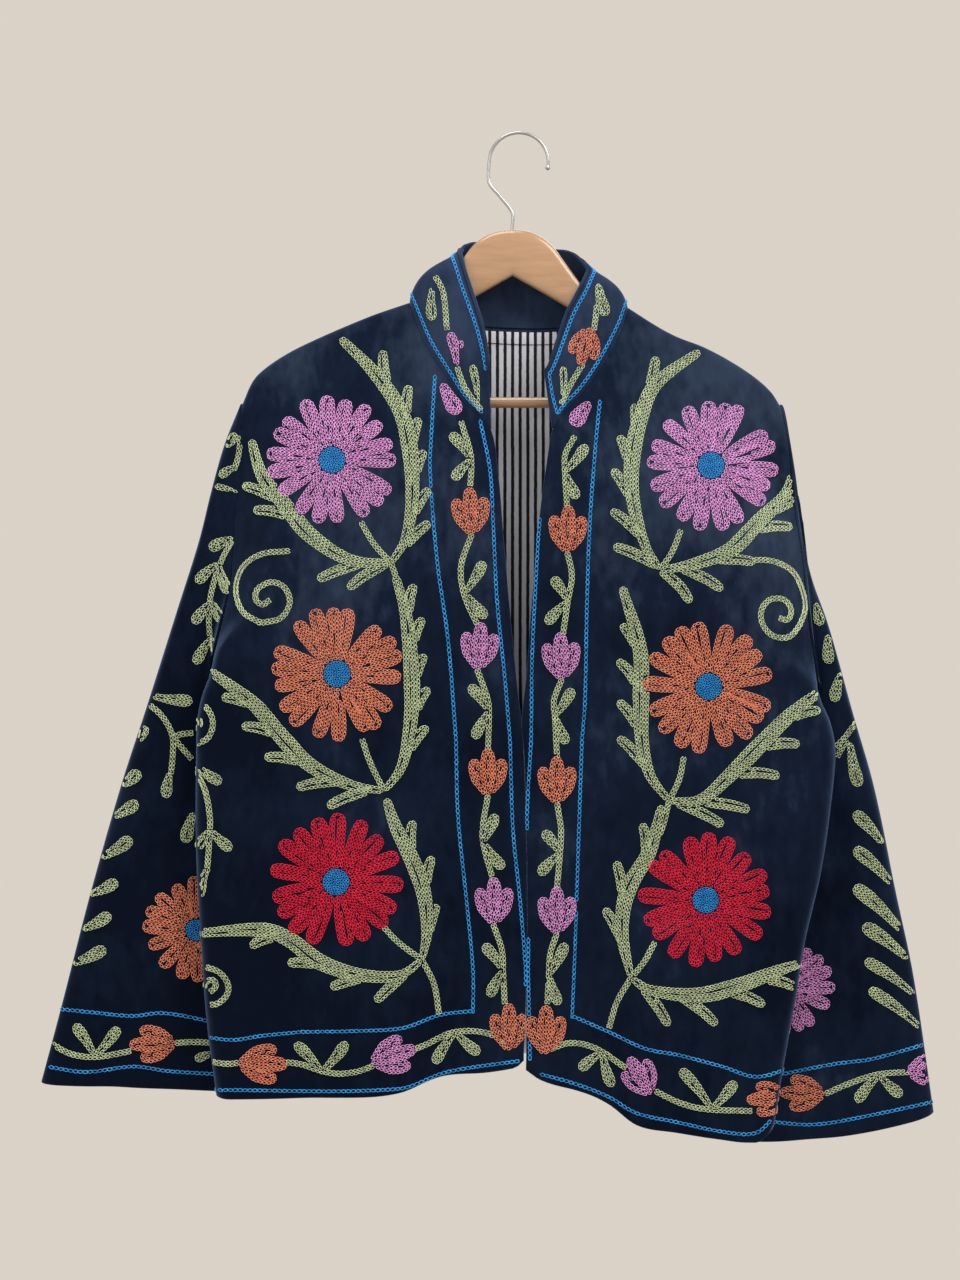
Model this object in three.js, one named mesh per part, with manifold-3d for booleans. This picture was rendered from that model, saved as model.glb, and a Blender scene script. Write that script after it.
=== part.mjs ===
// An edge-to-edge velvet jacket with a stand collar, hanging on a wooden hanger.
// Millimetres, +Z up. The origin is the inside top of the hook, the front faces -Y,
// and the wearer's left is +X.
import * as THREE from "three";
import { mergeVertices } from "three/addons/utils/BufferGeometryUtils.js";
import Module from "manifold-3d";

// ---- driving dimensions ----
const VELVET = 2.2; // wall of the body and the sleeves
const COLLAR_WALL = 3;
const LINING = 1;
const SEAM = 0.3; // gap between two sewn pieces
const CORNER_ROW = 0.2; // row of the neckline's front corner, of 1 at the hem
const UNDERARM_ROW = 0.4; // row of the underarm
const ARMHOLE_DEPTH = 14; // half of the armhole, front to back
const ARMHOLE_LEAN = -6; // how far forward the underarm stands
const FRONT_DEPTH = 48; // how far the front hangs before the hanger
const BACK_DEPTH = 24;
const SIDE_FORWARD = -26; // the side seams hang before the sleeves
const BACK_SIDE = -13; // the back beside them
const SIDE_THICKNESS = 13; // from the side seam to the back beside it
const SLEEVE_BEHIND = [15, 75]; // width of back that a sleeve lies against, underarm and hem
const RIDGE_RADIUS = 10; // the cloth's turn over the shoulder
const RIDGE_DEPTH = 9;
const NECK_HUMP = 11; // the back neck stands behind the hanger
const NECK_HALF = 95; // half of the neck's width
const HUMP_FULLNESS = 0.7; // below 1, the hump is broad
const FRONT_SETTLE = 170; // drop over which a front comes out to its depth
const BACK_SETTLE = 140;
const SOFT_EDGE = 60; // width over which the body comes out of the armhole
const TIGHT_EDGE = 14; // and out of the side seam
const TIGHTENING = 0.05; // rows above the underarm over which the one becomes the other
const BEHIND_FROM = 0.29; // row where a sleeve begins to hold the back in
const BEHIND_OVER = 0.15;
const BESIDE_SLEEVE = 90; // width over which the back comes out again beside it
const FOLD_RISE = 0.45; // share of its length over which a fold rises
const FOLD_END = 30; // length over which it dies out past its end

// Rows run from the shoulder (0) to the hem (1), columns from the centre (0) to the side (1).
const ARMHOLE_ROWS = [0, 0.003, 0.009, 0.018, 0.05, 0.1, 0.15, 0.2, 0.25, 0.3, 0.35, 0.385, 0.4];
const SIDE_ROWS = [0.415, 0.44, 0.48, 0.54, 0.62, 0.7, 0.78, 0.86, 0.93, 1];
const ROWS = [...ARMHOLE_ROWS, ...SIDE_ROWS];
const COLUMNS = [0, 0.13, 0.26, 0.38, 0.5, 0.62, 0.74, 0.84, 0.92, 0.965, 0.988, 1];
const NECK_COLUMNS = [1 / 6, 2 / 6, 3 / 6, 4 / 6, 5 / 6];
const SLEEVE_ROWS = [0, 0.03, 0.08, 0.14, 0.22, 0.3, 0.38, 0.46, 0.54, 0.62, 0.7, 0.78, 0.86, 0.93, 1];
const BACK_NECK = 0.38; // columns of the back run to here on a shoulder
const COLLAR_BELLY = 0.8; // below 1, a collar's swell is low on it
const COLLAR_REACH = 0.02; // step along the collar for its direction

// Sleeves: shares of the width across, and rows along.
const TUBE_FOLD = 0.1; // width that each fold is round over
const ARMHOLE_FADE = 0.2; // rows that follow the armhole's curve
const WRAP_OVER = 0.25; // width over which a sleeve starts to lie round the body's edge
const RIDGE_WRAP = 0.6; // how much it does at the shoulder
const RIDGE_OVER = 0.3;
const CLEARANCE = 1.4; // seam gaps between a sleeve and the body
const FOLDS_FROM = 0.3; // row where a sleeve's folds are full

// ---- the cut, a row for each point that an edge passes ----
const RIGHT = {
  side: -1,
  // column, x, z
  ridge: [
    [0, -95.4, -145.6],
    [0.24, -130, -157.6],
    [0.6, -182, -180],
    [0.8, -208, -194],
    [0.92, -225.8, -207.7],
    [0.96, -232.2, -217],
    [1, -238.8, -232.8],
  ],
  // row, x, z
  opening: [
    [0, -95.4, -145.6],
    [0.066, -79.5, -185.7],
    [0.116, -62.2, -213.6],
    [0.159, -46.8, -236],
    [0.2, -26.5, -257],
    [0.255, -19.8, -293.8],
    [0.344, -14.8, -352.8],
    [0.445, -9, -419.8],
    [0.533, -3.1, -478.5],
    [0.573, -0.2, -505],
    [0.621, 2.2, -537],
    [0.734, 4.2, -612],
    [0.86, 4.8, -696],
    [1, 2, -789],
  ],
  // row, x, z
  outer: [
    [0, -238.8, -232.8],
    [0.042, -237.5, -256],
    [0.077, -237.5, -275.6],
    [0.117, -238.1, -298],
    [0.154, -242, -318.7],
    [0.22, -244.2, -355.5],
    [0.283, -247.1, -390.5],
    [0.343, -254.5, -423.8],
    [0.4, -262.5, -455.5],
    [0.421, -264.5, -468],
    [0.446, -270, -483.4],
    [0.48, -274, -505],
    [0.536, -275, -538.6],
    [0.661, -275, -615],
    [0.801, -270.4, -700],
    [0.899, -266, -760],
    [1, -258, -821.5],
  ],
  // column, x, z
  hem: [
    [0, 2, -789],
    [0.03, -5, -795],
    [0.24, -62, -802.3],
    [0.4, -103, -816],
    [0.72, -185, -821],
    [1, -258, -821.5],
  ],
  // row along the sleeve, x, y, z
  sleeveOuter: [
    [0, -238.8, 0, -232.8],
    [0.057, -253.5, 0, -268],
    [0.12, -265, 2, -306],
    [0.2, -276.4, 3, -350.5],
    [0.3, -295, 4, -409],
    [0.44, -321.7, 5, -493],
    [0.56, -343.8, 5, -560.5],
    [0.72, -371, 4, -656.5],
    [0.88, -395.5, 2, -753],
    [1, -412.4, 0, -817.5],
  ],
  sleeveInner: [
    [0, -262.5, -6, -455.5],
    [0.057, -267, 4, -473],
    [0.12, -270, 8, -492],
    [0.2, -270, 9, -518],
    [0.3, -262, 9, -552],
    [0.44, -248, 8, -612],
    [0.56, -236, 7, -665],
    [0.72, -222, 6, -733],
    [0.88, -209, 5, -794],
    [1, -202, 5, -826],
  ],
  cuffSag: 0, // how far the middle of the cuff hangs below its ends
  wrappedFrom: 0.6, // share of the width across where the sleeve lies round the edge
};

const LEFT = {
  side: 1,
  // column, x, z
  ridge: [
    [0, 93.7, -149.9],
    [0.2, 119.6, -166.3],
    [0.32, 136, -174.9],
    [0.5, 158.5, -183.6],
    [0.66, 180, -194.8],
    [0.83, 202.5, -209.5],
    [0.94, 216.8, -222.4],
    [1, 224.1, -233.6],
  ],
  // row, x, z
  opening: [
    [0, 93.7, -149.9],
    [0.037, 86.1, -172.2],
    [0.086, 71.8, -200],
    [0.138, 52.8, -226.8],
    [0.168, 39.4, -240.5],
    [0.2, 28.5, -257],
    [0.242, 23.1, -285],
    [0.319, 16.2, -336],
    [0.42, 10.3, -403],
    [0.522, 5.3, -470],
    [0.575, 1.4, -505],
    [0.623, 3.8, -537],
    [0.736, 5.8, -612],
    [0.863, 6.4, -696],
    [1, 5, -797],
  ],
  // row, x, z
  outer: [
    [0, 224.1, -233.6],
    [0.028, 226.4, -250.7],
    [0.06, 229, -270.3],
    [0.11, 231.5, -301.5],
    [0.163, 236, -334],
    [0.218, 241, -367.4],
    [0.272, 244, -400],
    [0.325, 247.5, -432.3],
    [0.362, 251, -455.4],
    [0.4, 254.5, -478],
    [0.42, 257, -490],
    [0.44, 262, -502],
    [0.468, 266, -518],
    [0.495, 267.6, -535],
    [0.585, 261.7, -591],
    [0.655, 254.9, -634],
    [0.747, 242, -690],
    [0.83, 233.6, -741],
    [0.927, 223, -800],
    [1, 216, -844.4],
  ],
  // column, x, z
  hem: [
    [0, 5, -797],
    [0.05, 16.2, -804.7],
    [0.18, 44.8, -813.5],
    [0.32, 74, -826.5],
    [0.43, 96.4, -841.4],
    [0.6, 131.7, -849.4],
    [0.78, 170.5, -855],
    [0.9, 193.7, -858.5],
    [0.95, 202.4, -856.9],
    [1, 216, -844.4],
  ],
  // row along the sleeve, x, y, z
  sleeveOuter: [
    [0, 224.1, 0, -233.6],
    [0.077, 233.6, 0, -281],
    [0.16, 240.4, 1, -333],
    [0.236, 250.6, 2, -379.5],
    [0.31, 266.3, 3, -423.6],
    [0.43, 286.4, 5, -494],
    [0.545, 306.3, 5, -563],
    [0.685, 324.3, 4, -650.4],
    [0.81, 340, 2, -726.3],
    [1, 357.1, 0, -843.4],
  ],
  sleeveInner: [
    [0, 254.5, -6, -478],
    [0.077, 259, 5, -496],
    [0.16, 262, 9, -515],
    [0.236, 261, 10, -540],
    [0.31, 257, 10, -570],
    [0.43, 246, 9, -625],
    [0.545, 230, 8, -682],
    [0.685, 208, 7, -747],
    [0.81, 180, 6, -802],
    [1, 148, 6, -863.4],
  ],
  cuffSag: 12,
  wrappedFrom: -1, // all across
};

// column of the neck, x, z
const BACK_NECK_EDGE = [
  [0, -95.4, -145.6],
  [0.1, -77.6, -156.1],
  [0.25, -51.6, -163],
  [0.5, -3.5, -166.2],
  [0.75, 44.6, -165.6],
  [0.9, 75.6, -159.6],
  [1, 93.7, -149.9],
];
// column of the back, x, z
const BACK_HEM = [
  [0, -258, -821.5],
  [0.25, -140, -818],
  [0.5, -15, -797],
  [0.62, 45, -810],
  [0.75, 105, -832],
  [1, 216, -844.4],
];
// row, y
const SIDE_SEAM = [
  [0.4, ARMHOLE_LEAN],
  [0.412, -13],
  [0.43, -21],
  [0.47, SIDE_FORWARD],
  [1, SIDE_FORWARD],
];
// row along the sleeve, half of its depth
const SLEEVE_DEPTH = [
  [0, ARMHOLE_DEPTH],
  [0.1, 12],
  [0.4, 15],
  [0.7, 14],
  [1, 12],
];
// Collar, from the right front corner round the neck: place, x, y, z of its top edge, outward swell
const COLLAR_TOP = [
  [0, -29, -40, -209, 0],
  [0.06, -28.5, -36, -191, 1],
  [0.12, -32, -29, -168.5, 3],
  [0.19, -40, -20, -140, 6],
  [0.24, -45.5, -14, -122, 9],
  [0.27, -48.5, -10, -110, 11],
  [0.31, -50.5, -1, -101, 11],
  [0.36, -48, 10, -93, 9],
  [0.43, -34, 17, -90.5, 5],
  [0.5, -3.5, 20, -95, 3],
  [0.58, 28.6, 17, -96.5, 5],
  [0.64, 47.5, 11, -99.8, 9],
  [0.69, 58.4, 2, -113.4, 9],
  [0.73, 55.5, -7, -124, 8],
  [0.77, 50, -13, -136, 6],
  [0.82, 40.3, -18, -155, 4],
  [0.88, 31.7, -27, -181, 2],
  [0.95, 25, -37, -203, 0],
  [1, 21.5, -40, -209, 0],
];
const COLLAR_SIDE = 0.3; // place of the side neck on the collar
const COLLAR_RISE = [0, 0.2, 0.45, 0.7, 0.9, 1];

// Soft folds: the line's ends x, z, its half width, and how far the cloth stands out
const FRONT_FOLDS = [
  [-62, -600, -74, -830, 20, -7],
  [-38, -560, -32, -830, 16, 4],
  [-112, -560, -120, -840, 26, 4],
  [-228, -300, -150, -420, 22, 3],
  [-210, -470, -190, -830, 30, -4],
  [64, -560, 60, -860, 20, -7],
  [100, -600, 100, -880, 20, 6],
  [36, -560, 30, -830, 16, 3],
  [220, -330, 150, -430, 22, 3],
  [205, -500, 196, -880, 12, -5],
  [160, -500, 172, -880, 26, 3],
];
const BACK_FOLDS = [
  [-120, -420, -110, -860, 26, 6],
  [-60, -300, -48, -860, 20, -4],
  [20, -380, 10, -860, 24, 5],
  [84, -300, 90, -860, 22, -5],
  [140, -420, 130, -860, 26, 5],
];
const SLEEVE_FOLDS = [
  [-300, -470, -300, -780, 20, 3],
  [-345, -640, -352, -850, 18, -3],
  [-262, -500, -330, -600, 16, 3],
  [290, -540, 300, -840, 18, 3],
  [256, -520, 310, -610, 16, 3],
  [262, -660, 250, -880, 20, -3],
];

// Hanger
const HANGER_X = -6;
const ARM_THICKNESS = 11;
const ARM_BEVEL = 3;
// distance from the hanger's centre, z
const ARM_TOP = [
  [0, -82.5],
  [14, -84.5],
  [28, -94.5],
  [40, -106],
  [54, -123],
  [72, -145],
  [89, -161.5],
  [104, -167],
  [127, -176],
  [165, -192.5],
  [187, -203],
  [209, -217.5],
  [217, -227],
];
const ARM_TIP = [216, -239];
const ARM_UNDER = [
  [203, -236.5],
  [173, -219],
  [100, -180],
  [48, -150],
  [32, -140.5],
  [12, -125.5],
  [0, -122.3],
];
const BAR_RADIUS = 4.75;
const BAR_Z = -231.5;
const BAR_HALF = 200;
const WIRE_RADIUS = 1.5;
const HOOK_RADIUS = 25.5;
const HOOK_CENTRE = [-0.5, -24];
const HOOK_BALL = 2.3;
const STEM_X = -6.2;
const STEM_FOOT = -94;
const STEM_TOP = -68;

// ---- small functions ----
const clamp = (q) => Math.min(1, Math.max(0, q));
const lerp = (a, b, q) => a + (b - a) * q;
const smooth = (q) => clamp(q) ** 2 * (3 - 2 * clamp(q));
// A quarter of a round turn: steep at 0, level from 1.
const roll = (q) => Math.sqrt(1 - (1 - clamp(q)) ** 2);
// A soft bend: sloping at 0, level from 1.
const bend = (q) => clamp(q) * (2 - clamp(q));

// A smooth line through the rows of a table, whose first column is the place along it.
function through(rows) {
  const slopes = rows.map((row, i) => {
    const a = rows[Math.max(i - 1, 0)];
    const b = rows[Math.min(i + 1, rows.length - 1)];
    return row.map((_, c) => (b[c] - a[c]) / (b[0] - a[0]));
  });
  return (place) => {
    let i = 1;
    while (i < rows.length - 1 && rows[i][0] < place) i += 1;
    const span = rows[i][0] - rows[i - 1][0];
    const q = clamp((place - rows[i - 1][0]) / span);
    const start = (1 + 2 * q) * (1 - q) ** 2;
    const startSlope = q * (1 - q) ** 2 * span;
    const endSlope = q * q * (q - 1) * span;
    return rows[i].slice(1).map(
      (end, c) =>
        start * rows[i - 1][c + 1] +
        (1 - start) * end +
        startSlope * slopes[i - 1][c + 1] +
        endSlope * slopes[i][c + 1],
    );
  };
}

// How far folds push the cloth out at a place seen from the front.
function foldsAt(folds, x, z) {
  let out = 0;
  for (const [x0, z0, x1, z1, halfWidth, height] of folds) {
    const length = Math.hypot(x1 - x0, z1 - z0);
    const along = ((x - x0) * (x1 - x0) + (z - z0) * (z1 - z0)) / length;
    const across = ((x - x0) * (z1 - z0) - (z - z0) * (x1 - x0)) / length;
    const start = smooth(along / (FOLD_RISE * length));
    const end = smooth((length - along) / FOLD_END + 1);
    out += height * start * end * Math.exp(-((across / halfWidth) ** 2));
  }
  return out;
}

// A patch between four edges, in x and z.
function patch(start, end, top, bottom) {
  return (column, row) =>
    [0, 1].map(
      (c) =>
        lerp(start(row)[c], end(row)[c], column) +
        lerp(top(column)[c], bottom(column)[c], row) -
        lerp(
          lerp(top(0)[c], top(1)[c], column),
          lerp(bottom(0)[c], bottom(1)[c], column),
          row,
        ),
    );
}

// ---- the body's shape ----
const edges = (cut) => ({
  ...cut,
  ridgeAt: through(cut.ridge),
  openingAt: through(cut.opening),
  outerAt: through(cut.outer),
  hemAt: through(cut.hem),
  sleeveOuterAt: through(cut.sleeveOuter),
  sleeveInnerAt: through(cut.sleeveInner),
});
const right = edges(RIGHT);
const left = edges(LEFT);
const sideSeamAt = through(SIDE_SEAM);
const neckAt = through(BACK_NECK_EDGE);
const backHemAt = through(BACK_HEM);
const sleeveDepthAt = through(SLEEVE_DEPTH);
const collarTopAt = through(COLLAR_TOP);

// A flat tube's half depth across its width, round at both folds.
const flatTube = (across) => roll(across / TUBE_FOLD) * roll((1 - across) / TUBE_FOLD);

// Depth of the outer edge of a front (facing = -1) or of the back (facing = 1).
function edgeDepth(row, facing) {
  if (row > UNDERARM_ROW) return sideSeamAt(row)[0] + (facing * SEAM) / 2;
  const across = row / UNDERARM_ROW;
  const half = Math.max(ARMHOLE_DEPTH * flatTube(across), SEAM / 2);
  return ARMHOLE_LEAN * across + facing * half;
}

// The cloth meets the armhole softly and turns tightly at the side fold.
function besideEdge(inset, row) {
  const tight = smooth((row - UNDERARM_ROW) / TIGHTENING + 1);
  const width = lerp(SOFT_EDGE, TIGHT_EDGE, tight);
  return lerp(bend(inset / width), roll(inset / width), tight);
}

function frontSurface(cut) {
  const flat = patch(cut.openingAt, cut.outerAt, cut.ridgeAt, cut.hemAt);
  return (column, row) => {
    const [x, z] = flat(column, row);
    const drop = cut.ridgeAt(column)[1] - z;
    const inset = Math.abs(x - cut.outerAt(row)[0]);
    const settled = (FRONT_DEPTH - RIDGE_DEPTH) * smooth(drop / FRONT_SETTLE);
    const hang = RIDGE_DEPTH * roll(drop / RIDGE_RADIUS) + settled;
    const middle = -hang - foldsAt(FRONT_FOLDS, x, z) - SEAM / 2;
    const edge = edgeDepth(row, -1);
    return new THREE.Vector3(x, lerp(edge, middle, besideEdge(inset, row)), z);
  };
}

// The top edge of the back: right shoulder, neck, left shoulder.
function backTop(column) {
  if (column < BACK_NECK) return right.ridgeAt(1 - column / BACK_NECK);
  if (column > 1 - BACK_NECK) return left.ridgeAt(1 - (1 - column) / BACK_NECK);
  return neckAt((column - BACK_NECK) / (1 - 2 * BACK_NECK));
}

// The ridge that the back hangs from, carried straight across the neck.
function backRidgeZ(column) {
  const neck = clamp((column - BACK_NECK) / (1 - 2 * BACK_NECK));
  if (neck > 0 && neck < 1) return lerp(right.ridge[0][2], left.ridge[0][2], neck);
  return backTop(column)[1];
}

function backSurface(column, row) {
  const flat = patch(right.outerAt, left.outerAt, backTop, backHemAt);
  const [x, z] = flat(column, row);
  const drop = backRidgeZ(column) - z;
  const inset = Math.min(x - right.outerAt(row)[0], left.outerAt(row)[0] - x);
  const neck = clamp((x / NECK_HALF + 1) / 2);
  const settling = smooth(drop / BACK_SETTLE);
  const hump = NECK_HUMP * Math.sin(Math.PI * neck) ** HUMP_FULLNESS * (1 - settling);
  const hang = RIDGE_DEPTH * roll(drop / RIDGE_RADIUS) + (BACK_DEPTH - RIDGE_DEPTH) * settling;
  const overlap = lerp(SLEEVE_BEHIND[0], SLEEVE_BEHIND[1], (row - UNDERARM_ROW) / (1 - UNDERARM_ROW));
  const heldIn = smooth((row - BEHIND_FROM) / BEHIND_OVER);
  const behindSleeve = heldIn * (1 - smooth((inset - overlap) / BESIDE_SLEEVE));
  const open = hang + hump + foldsAt(BACK_FOLDS, x, z) + SEAM / 2;
  const edge = edgeDepth(row, 1);
  const middle = lerp(open, Math.max(BACK_SIDE, edge + SIDE_THICKNESS), behindSleeve);
  return new THREE.Vector3(x, lerp(edge, middle, besideEdge(inset, row)), z);
}

// A point of a sleeve: round runs 0 to 1 from the outer fold, over the front, and back.
function sleeveSurface(cut) {
  return (round, row) => {
    const front = round < 0.5;
    const across = front ? 2 * round : 2 - 2 * round;
    const outer = cut.sleeveOuterAt(row);
    const inner = cut.sleeveInnerAt(row);
    const armhole = cut.outerAt(across * UNDERARM_ROW);
    const fade = (1 - clamp(row / ARMHOLE_FADE)) ** 2;
    const wrapped = Math.max(
      smooth((across - cut.wrappedFrom) / WRAP_OVER),
      RIDGE_WRAP * (1 - smooth(across / RIDGE_OVER)),
    );
    const clear = SEAM * CLEARANCE + VELVET * wrapped * fade;
    const bow = [0, 1].map(
      (c) => armhole[c] - lerp(cut.ridgeAt(1)[c], cut.outerAt(UNDERARM_ROW)[c], across),
    );
    const x = lerp(outer[0], inner[0], across) + bow[0] * fade + cut.side * clear;
    const sag = cut.cuffSag * 4 * across * (1 - across) * row ** 3;
    const z = lerp(outer[2], inner[2], across) + bow[1] * fade - sag;
    const half = sleeveDepthAt(row)[0] * flatTube(across);
    const folds = foldsAt(SLEEVE_FOLDS, x, z) * flatTube(across) * smooth(row / FOLDS_FROM);
    const depth = lerp(outer[1], inner[1], across);
    return new THREE.Vector3(x, depth + (front ? -1 : 1) * (half + folds), z);
  };
}

// The neck seam and the collar that stands on it.
function neckSeam(place) {
  if (place <= COLLAR_SIDE) return frontSurface(right)(0, CORNER_ROW * (1 - place / COLLAR_SIDE));
  if (place >= 1 - COLLAR_SIDE) return frontSurface(left)(0, CORNER_ROW * (1 - (1 - place) / COLLAR_SIDE));
  const neck = (place - COLLAR_SIDE) / (1 - 2 * COLLAR_SIDE);
  return backSurface(lerp(BACK_NECK, 1 - BACK_NECK, neck), 0);
}

function collarSurface(place, rise) {
  const foot = neckSeam(place);
  const [x, y, z, swell] = collarTopAt(place);
  const up = new THREE.Vector3(x, y, z).sub(foot);
  const before = collarTopAt(Math.max(place - COLLAR_REACH, 0));
  const after = collarTopAt(Math.min(place + COLLAR_REACH, 1));
  const along = new THREE.Vector3(after[0] - before[0], after[1] - before[1], after[2] - before[2]);
  const out = up.clone().cross(along).normalize();
  const gap = SEAM / up.length();
  return foot
    .addScaledVector(up, lerp(gap, 1, rise))
    .addScaledVector(out, swell * Math.sin(Math.PI * rise ** COLLAR_BELLY));
}

// ---- meshes ----
// A wall inward of a surface, over a grid of places. Round walls close on themselves.
function wall(surface, columns, rows, thickness, { turn = 1, inset = 0, round = false } = {}) {
  const step = 1e-5;
  const normalAt = (c, r) => {
    const before = round ? (c - step + 1) % 1 : Math.max(c - step, 0);
    const after = round ? (c + step) % 1 : Math.min(c + step, 1);
    const across = surface(after, r).sub(surface(before, r));
    const down = surface(c, Math.min(r + step, 1)).sub(surface(c, Math.max(r - step, 0)));
    return across.cross(down).normalize().multiplyScalar(turn);
  };
  const positions = [];
  for (const depth of [inset, inset + thickness])
    for (const r of rows)
      for (const c of columns)
        positions.push(...surface(c, r).addScaledVector(normalAt(c, r), -depth).toArray());
  const across = columns.length;
  const layer = across * rows.length;
  const at = (side, i, j) => side * layer + j * across + (i % across);
  const indices = [];
  const quad = (a, b, c, d) => indices.push(a, b, c, a, c, d);
  const lastColumn = round ? across : across - 1;
  for (let j = 0; j < rows.length - 1; j += 1)
    for (let i = 0; i < lastColumn; i += 1) {
      quad(at(0, i, j), at(0, i, j + 1), at(0, i + 1, j + 1), at(0, i + 1, j));
      quad(at(1, i, j), at(1, i + 1, j), at(1, i + 1, j + 1), at(1, i, j + 1));
    }
  const end = rows.length - 1;
  for (let i = 0; i < lastColumn; i += 1) {
    quad(at(0, i, 0), at(0, i + 1, 0), at(1, i + 1, 0), at(1, i, 0));
    quad(at(0, i, end), at(1, i, end), at(1, i + 1, end), at(0, i + 1, end));
  }
  for (let j = 0; j < end && !round; j += 1) {
    quad(at(0, 0, j), at(1, 0, j), at(1, 0, j + 1), at(0, 0, j + 1));
    quad(at(0, lastColumn, j), at(0, lastColumn, j + 1), at(1, lastColumn, j + 1), at(1, lastColumn, j));
  }
  if (turn > 0) indices.reverse();
  const geometry = new THREE.BufferGeometry();
  geometry.setAttribute("position", new THREE.Float32BufferAttribute(positions, 3));
  geometry.setIndex(indices);
  geometry.computeVertexNormals();
  return geometry;
}

const backColumns = [
  ...COLUMNS.map((c) => (1 - c) * BACK_NECK).reverse(),
  ...NECK_COLUMNS.map((n) => lerp(BACK_NECK, 1 - BACK_NECK, n)),
  ...COLUMNS.map((c) => 1 - (1 - c) * BACK_NECK),
];
const collarColumns = [
  ...ARMHOLE_ROWS.filter((r) => r <= CORNER_ROW)
    .reverse()
    .map((r) => COLLAR_SIDE * (1 - r / CORNER_ROW)),
  ...NECK_COLUMNS.map((n) => lerp(COLLAR_SIDE, 1 - COLLAR_SIDE, n)),
  ...ARMHOLE_ROWS.filter((r) => r <= CORNER_ROW).map((r) => 1 - COLLAR_SIDE * (1 - r / CORNER_ROW)),
];
const sleeveRounds = [
  ...ARMHOLE_ROWS.map((r) => r / UNDERARM_ROW / 2),
  ...ARMHOLE_ROWS.slice(1, -1)
    .reverse()
    .map((r) => 1 - r / UNDERARM_ROW / 2),
];

// ---- the hanger ----
const wasm = await Module();
wasm.setup();

function solidOf(geometry) {
  const bare = geometry.clone();
  bare.deleteAttribute("normal");
  bare.deleteAttribute("uv");
  const merged = mergeVertices(bare, 1e-3);
  return new wasm.Manifold(
    new wasm.Mesh({
      numProp: 3,
      vertProperties: new Float32Array(merged.attributes.position.array),
      triVerts: new Uint32Array(merged.index.array),
    }),
  );
}

function geometryOf(solid) {
  const mesh = solid.getMesh();
  const geometry = new THREE.BufferGeometry();
  geometry.setAttribute("position", new THREE.BufferAttribute(mesh.vertProperties, 3));
  geometry.setIndex(new THREE.BufferAttribute(mesh.triVerts, 1));
  geometry.computeVertexNormals();
  return geometry;
}

function hangerArms() {
  const point = ([across, z], side) => new THREE.Vector2(HANGER_X + side * across, z);
  const top = [
    ...ARM_TOP.slice(1).reverse().map((row) => point(row, -1)),
    ...ARM_TOP.map((row) => point(row, 1)),
  ];
  const under = [
    ...ARM_UNDER.map((row) => point(row, 1)),
    ...ARM_UNDER.slice(0, -1).reverse().map((row) => point(row, -1)),
  ];
  const outline = new THREE.Shape([...top, point(ARM_TIP, 1), ...under, point(ARM_TIP, -1)]);
  const board = new THREE.ExtrudeGeometry(outline, {
    depth: ARM_THICKNESS - 2 * ARM_BEVEL,
    bevelThickness: ARM_BEVEL,
    bevelSize: ARM_BEVEL,
    bevelOffset: -ARM_BEVEL,
    bevelSegments: 2,
  })
    .rotateX(Math.PI / 2)
    .translate(0, ARM_THICKNESS / 2 - ARM_BEVEL, 0);
  const socketRadius = BAR_RADIUS + SEAM;
  const socket = new THREE.CylinderGeometry(socketRadius, socketRadius, 2 * (BAR_HALF + SEAM), 16)
    .rotateZ(Math.PI / 2)
    .translate(HANGER_X, 0, BAR_Z);
  const hole = new THREE.CylinderGeometry(WIRE_RADIUS + SEAM, WIRE_RADIUS + SEAM, 40, 10)
    .rotateX(Math.PI / 2)
    .translate(STEM_X, 0, STEM_FOOT - SEAM + 20);
  return geometryOf(solidOf(board).subtract(solidOf(socket)).subtract(solidOf(hole)));
}

function hangerHook() {
  const points = [
    [STEM_X, STEM_FOOT],
    [STEM_X, (STEM_FOOT + STEM_TOP) / 2],
    [STEM_X, STEM_TOP],
    [-16, -54.5],
    [-26.2, -41],
  ];
  for (let degrees = 200; degrees >= -10; degrees -= 15) {
    const angle = THREE.MathUtils.degToRad(degrees);
    points.push([
      HOOK_CENTRE[0] + HOOK_RADIUS * Math.cos(angle),
      HOOK_CENTRE[1] + HOOK_RADIUS * Math.sin(angle),
    ]);
  }
  const path = new THREE.CatmullRomCurve3(points.map(([x, z]) => new THREE.Vector3(x, 0, z)));
  const section = new THREE.Shape().absarc(0, 0, WIRE_RADIUS, 0, 2 * Math.PI);
  const wire = new THREE.ExtrudeGeometry(section, { extrudePath: path, steps: 40, curveSegments: 4 });
  const [tipX, tipZ] = points[points.length - 1];
  const ball = new THREE.SphereGeometry(HOOK_BALL, 10, 6).translate(tipX, 0, tipZ);
  return geometryOf(solidOf(wire).add(solidOf(ball)));
}

const hangerBar = () =>
  new THREE.CylinderGeometry(BAR_RADIUS, BAR_RADIUS, 2 * BAR_HALF, 16)
    .rotateZ(Math.PI / 2)
    .translate(HANGER_X, 0, BAR_Z);

// ---- the jacket and the hanger as a scene ----
const cloth = (color) => new THREE.MeshStandardMaterial({ color, roughness: 0.95 });
const velvet = cloth(0x1f2a40);
const collarVelvet = cloth(0x243049);
const striped = cloth(0x8c8c92);
const wood = new THREE.MeshStandardMaterial({ color: 0xc99a6b, roughness: 0.3 });
const chrome = new THREE.MeshStandardMaterial({ color: 0xc8cbd0, roughness: 0.15, metalness: 1 });

function add(group, name, geometry, material) {
  const mesh = new THREE.Mesh(geometry, material);
  mesh.name = name;
  group.add(mesh);
}

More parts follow.
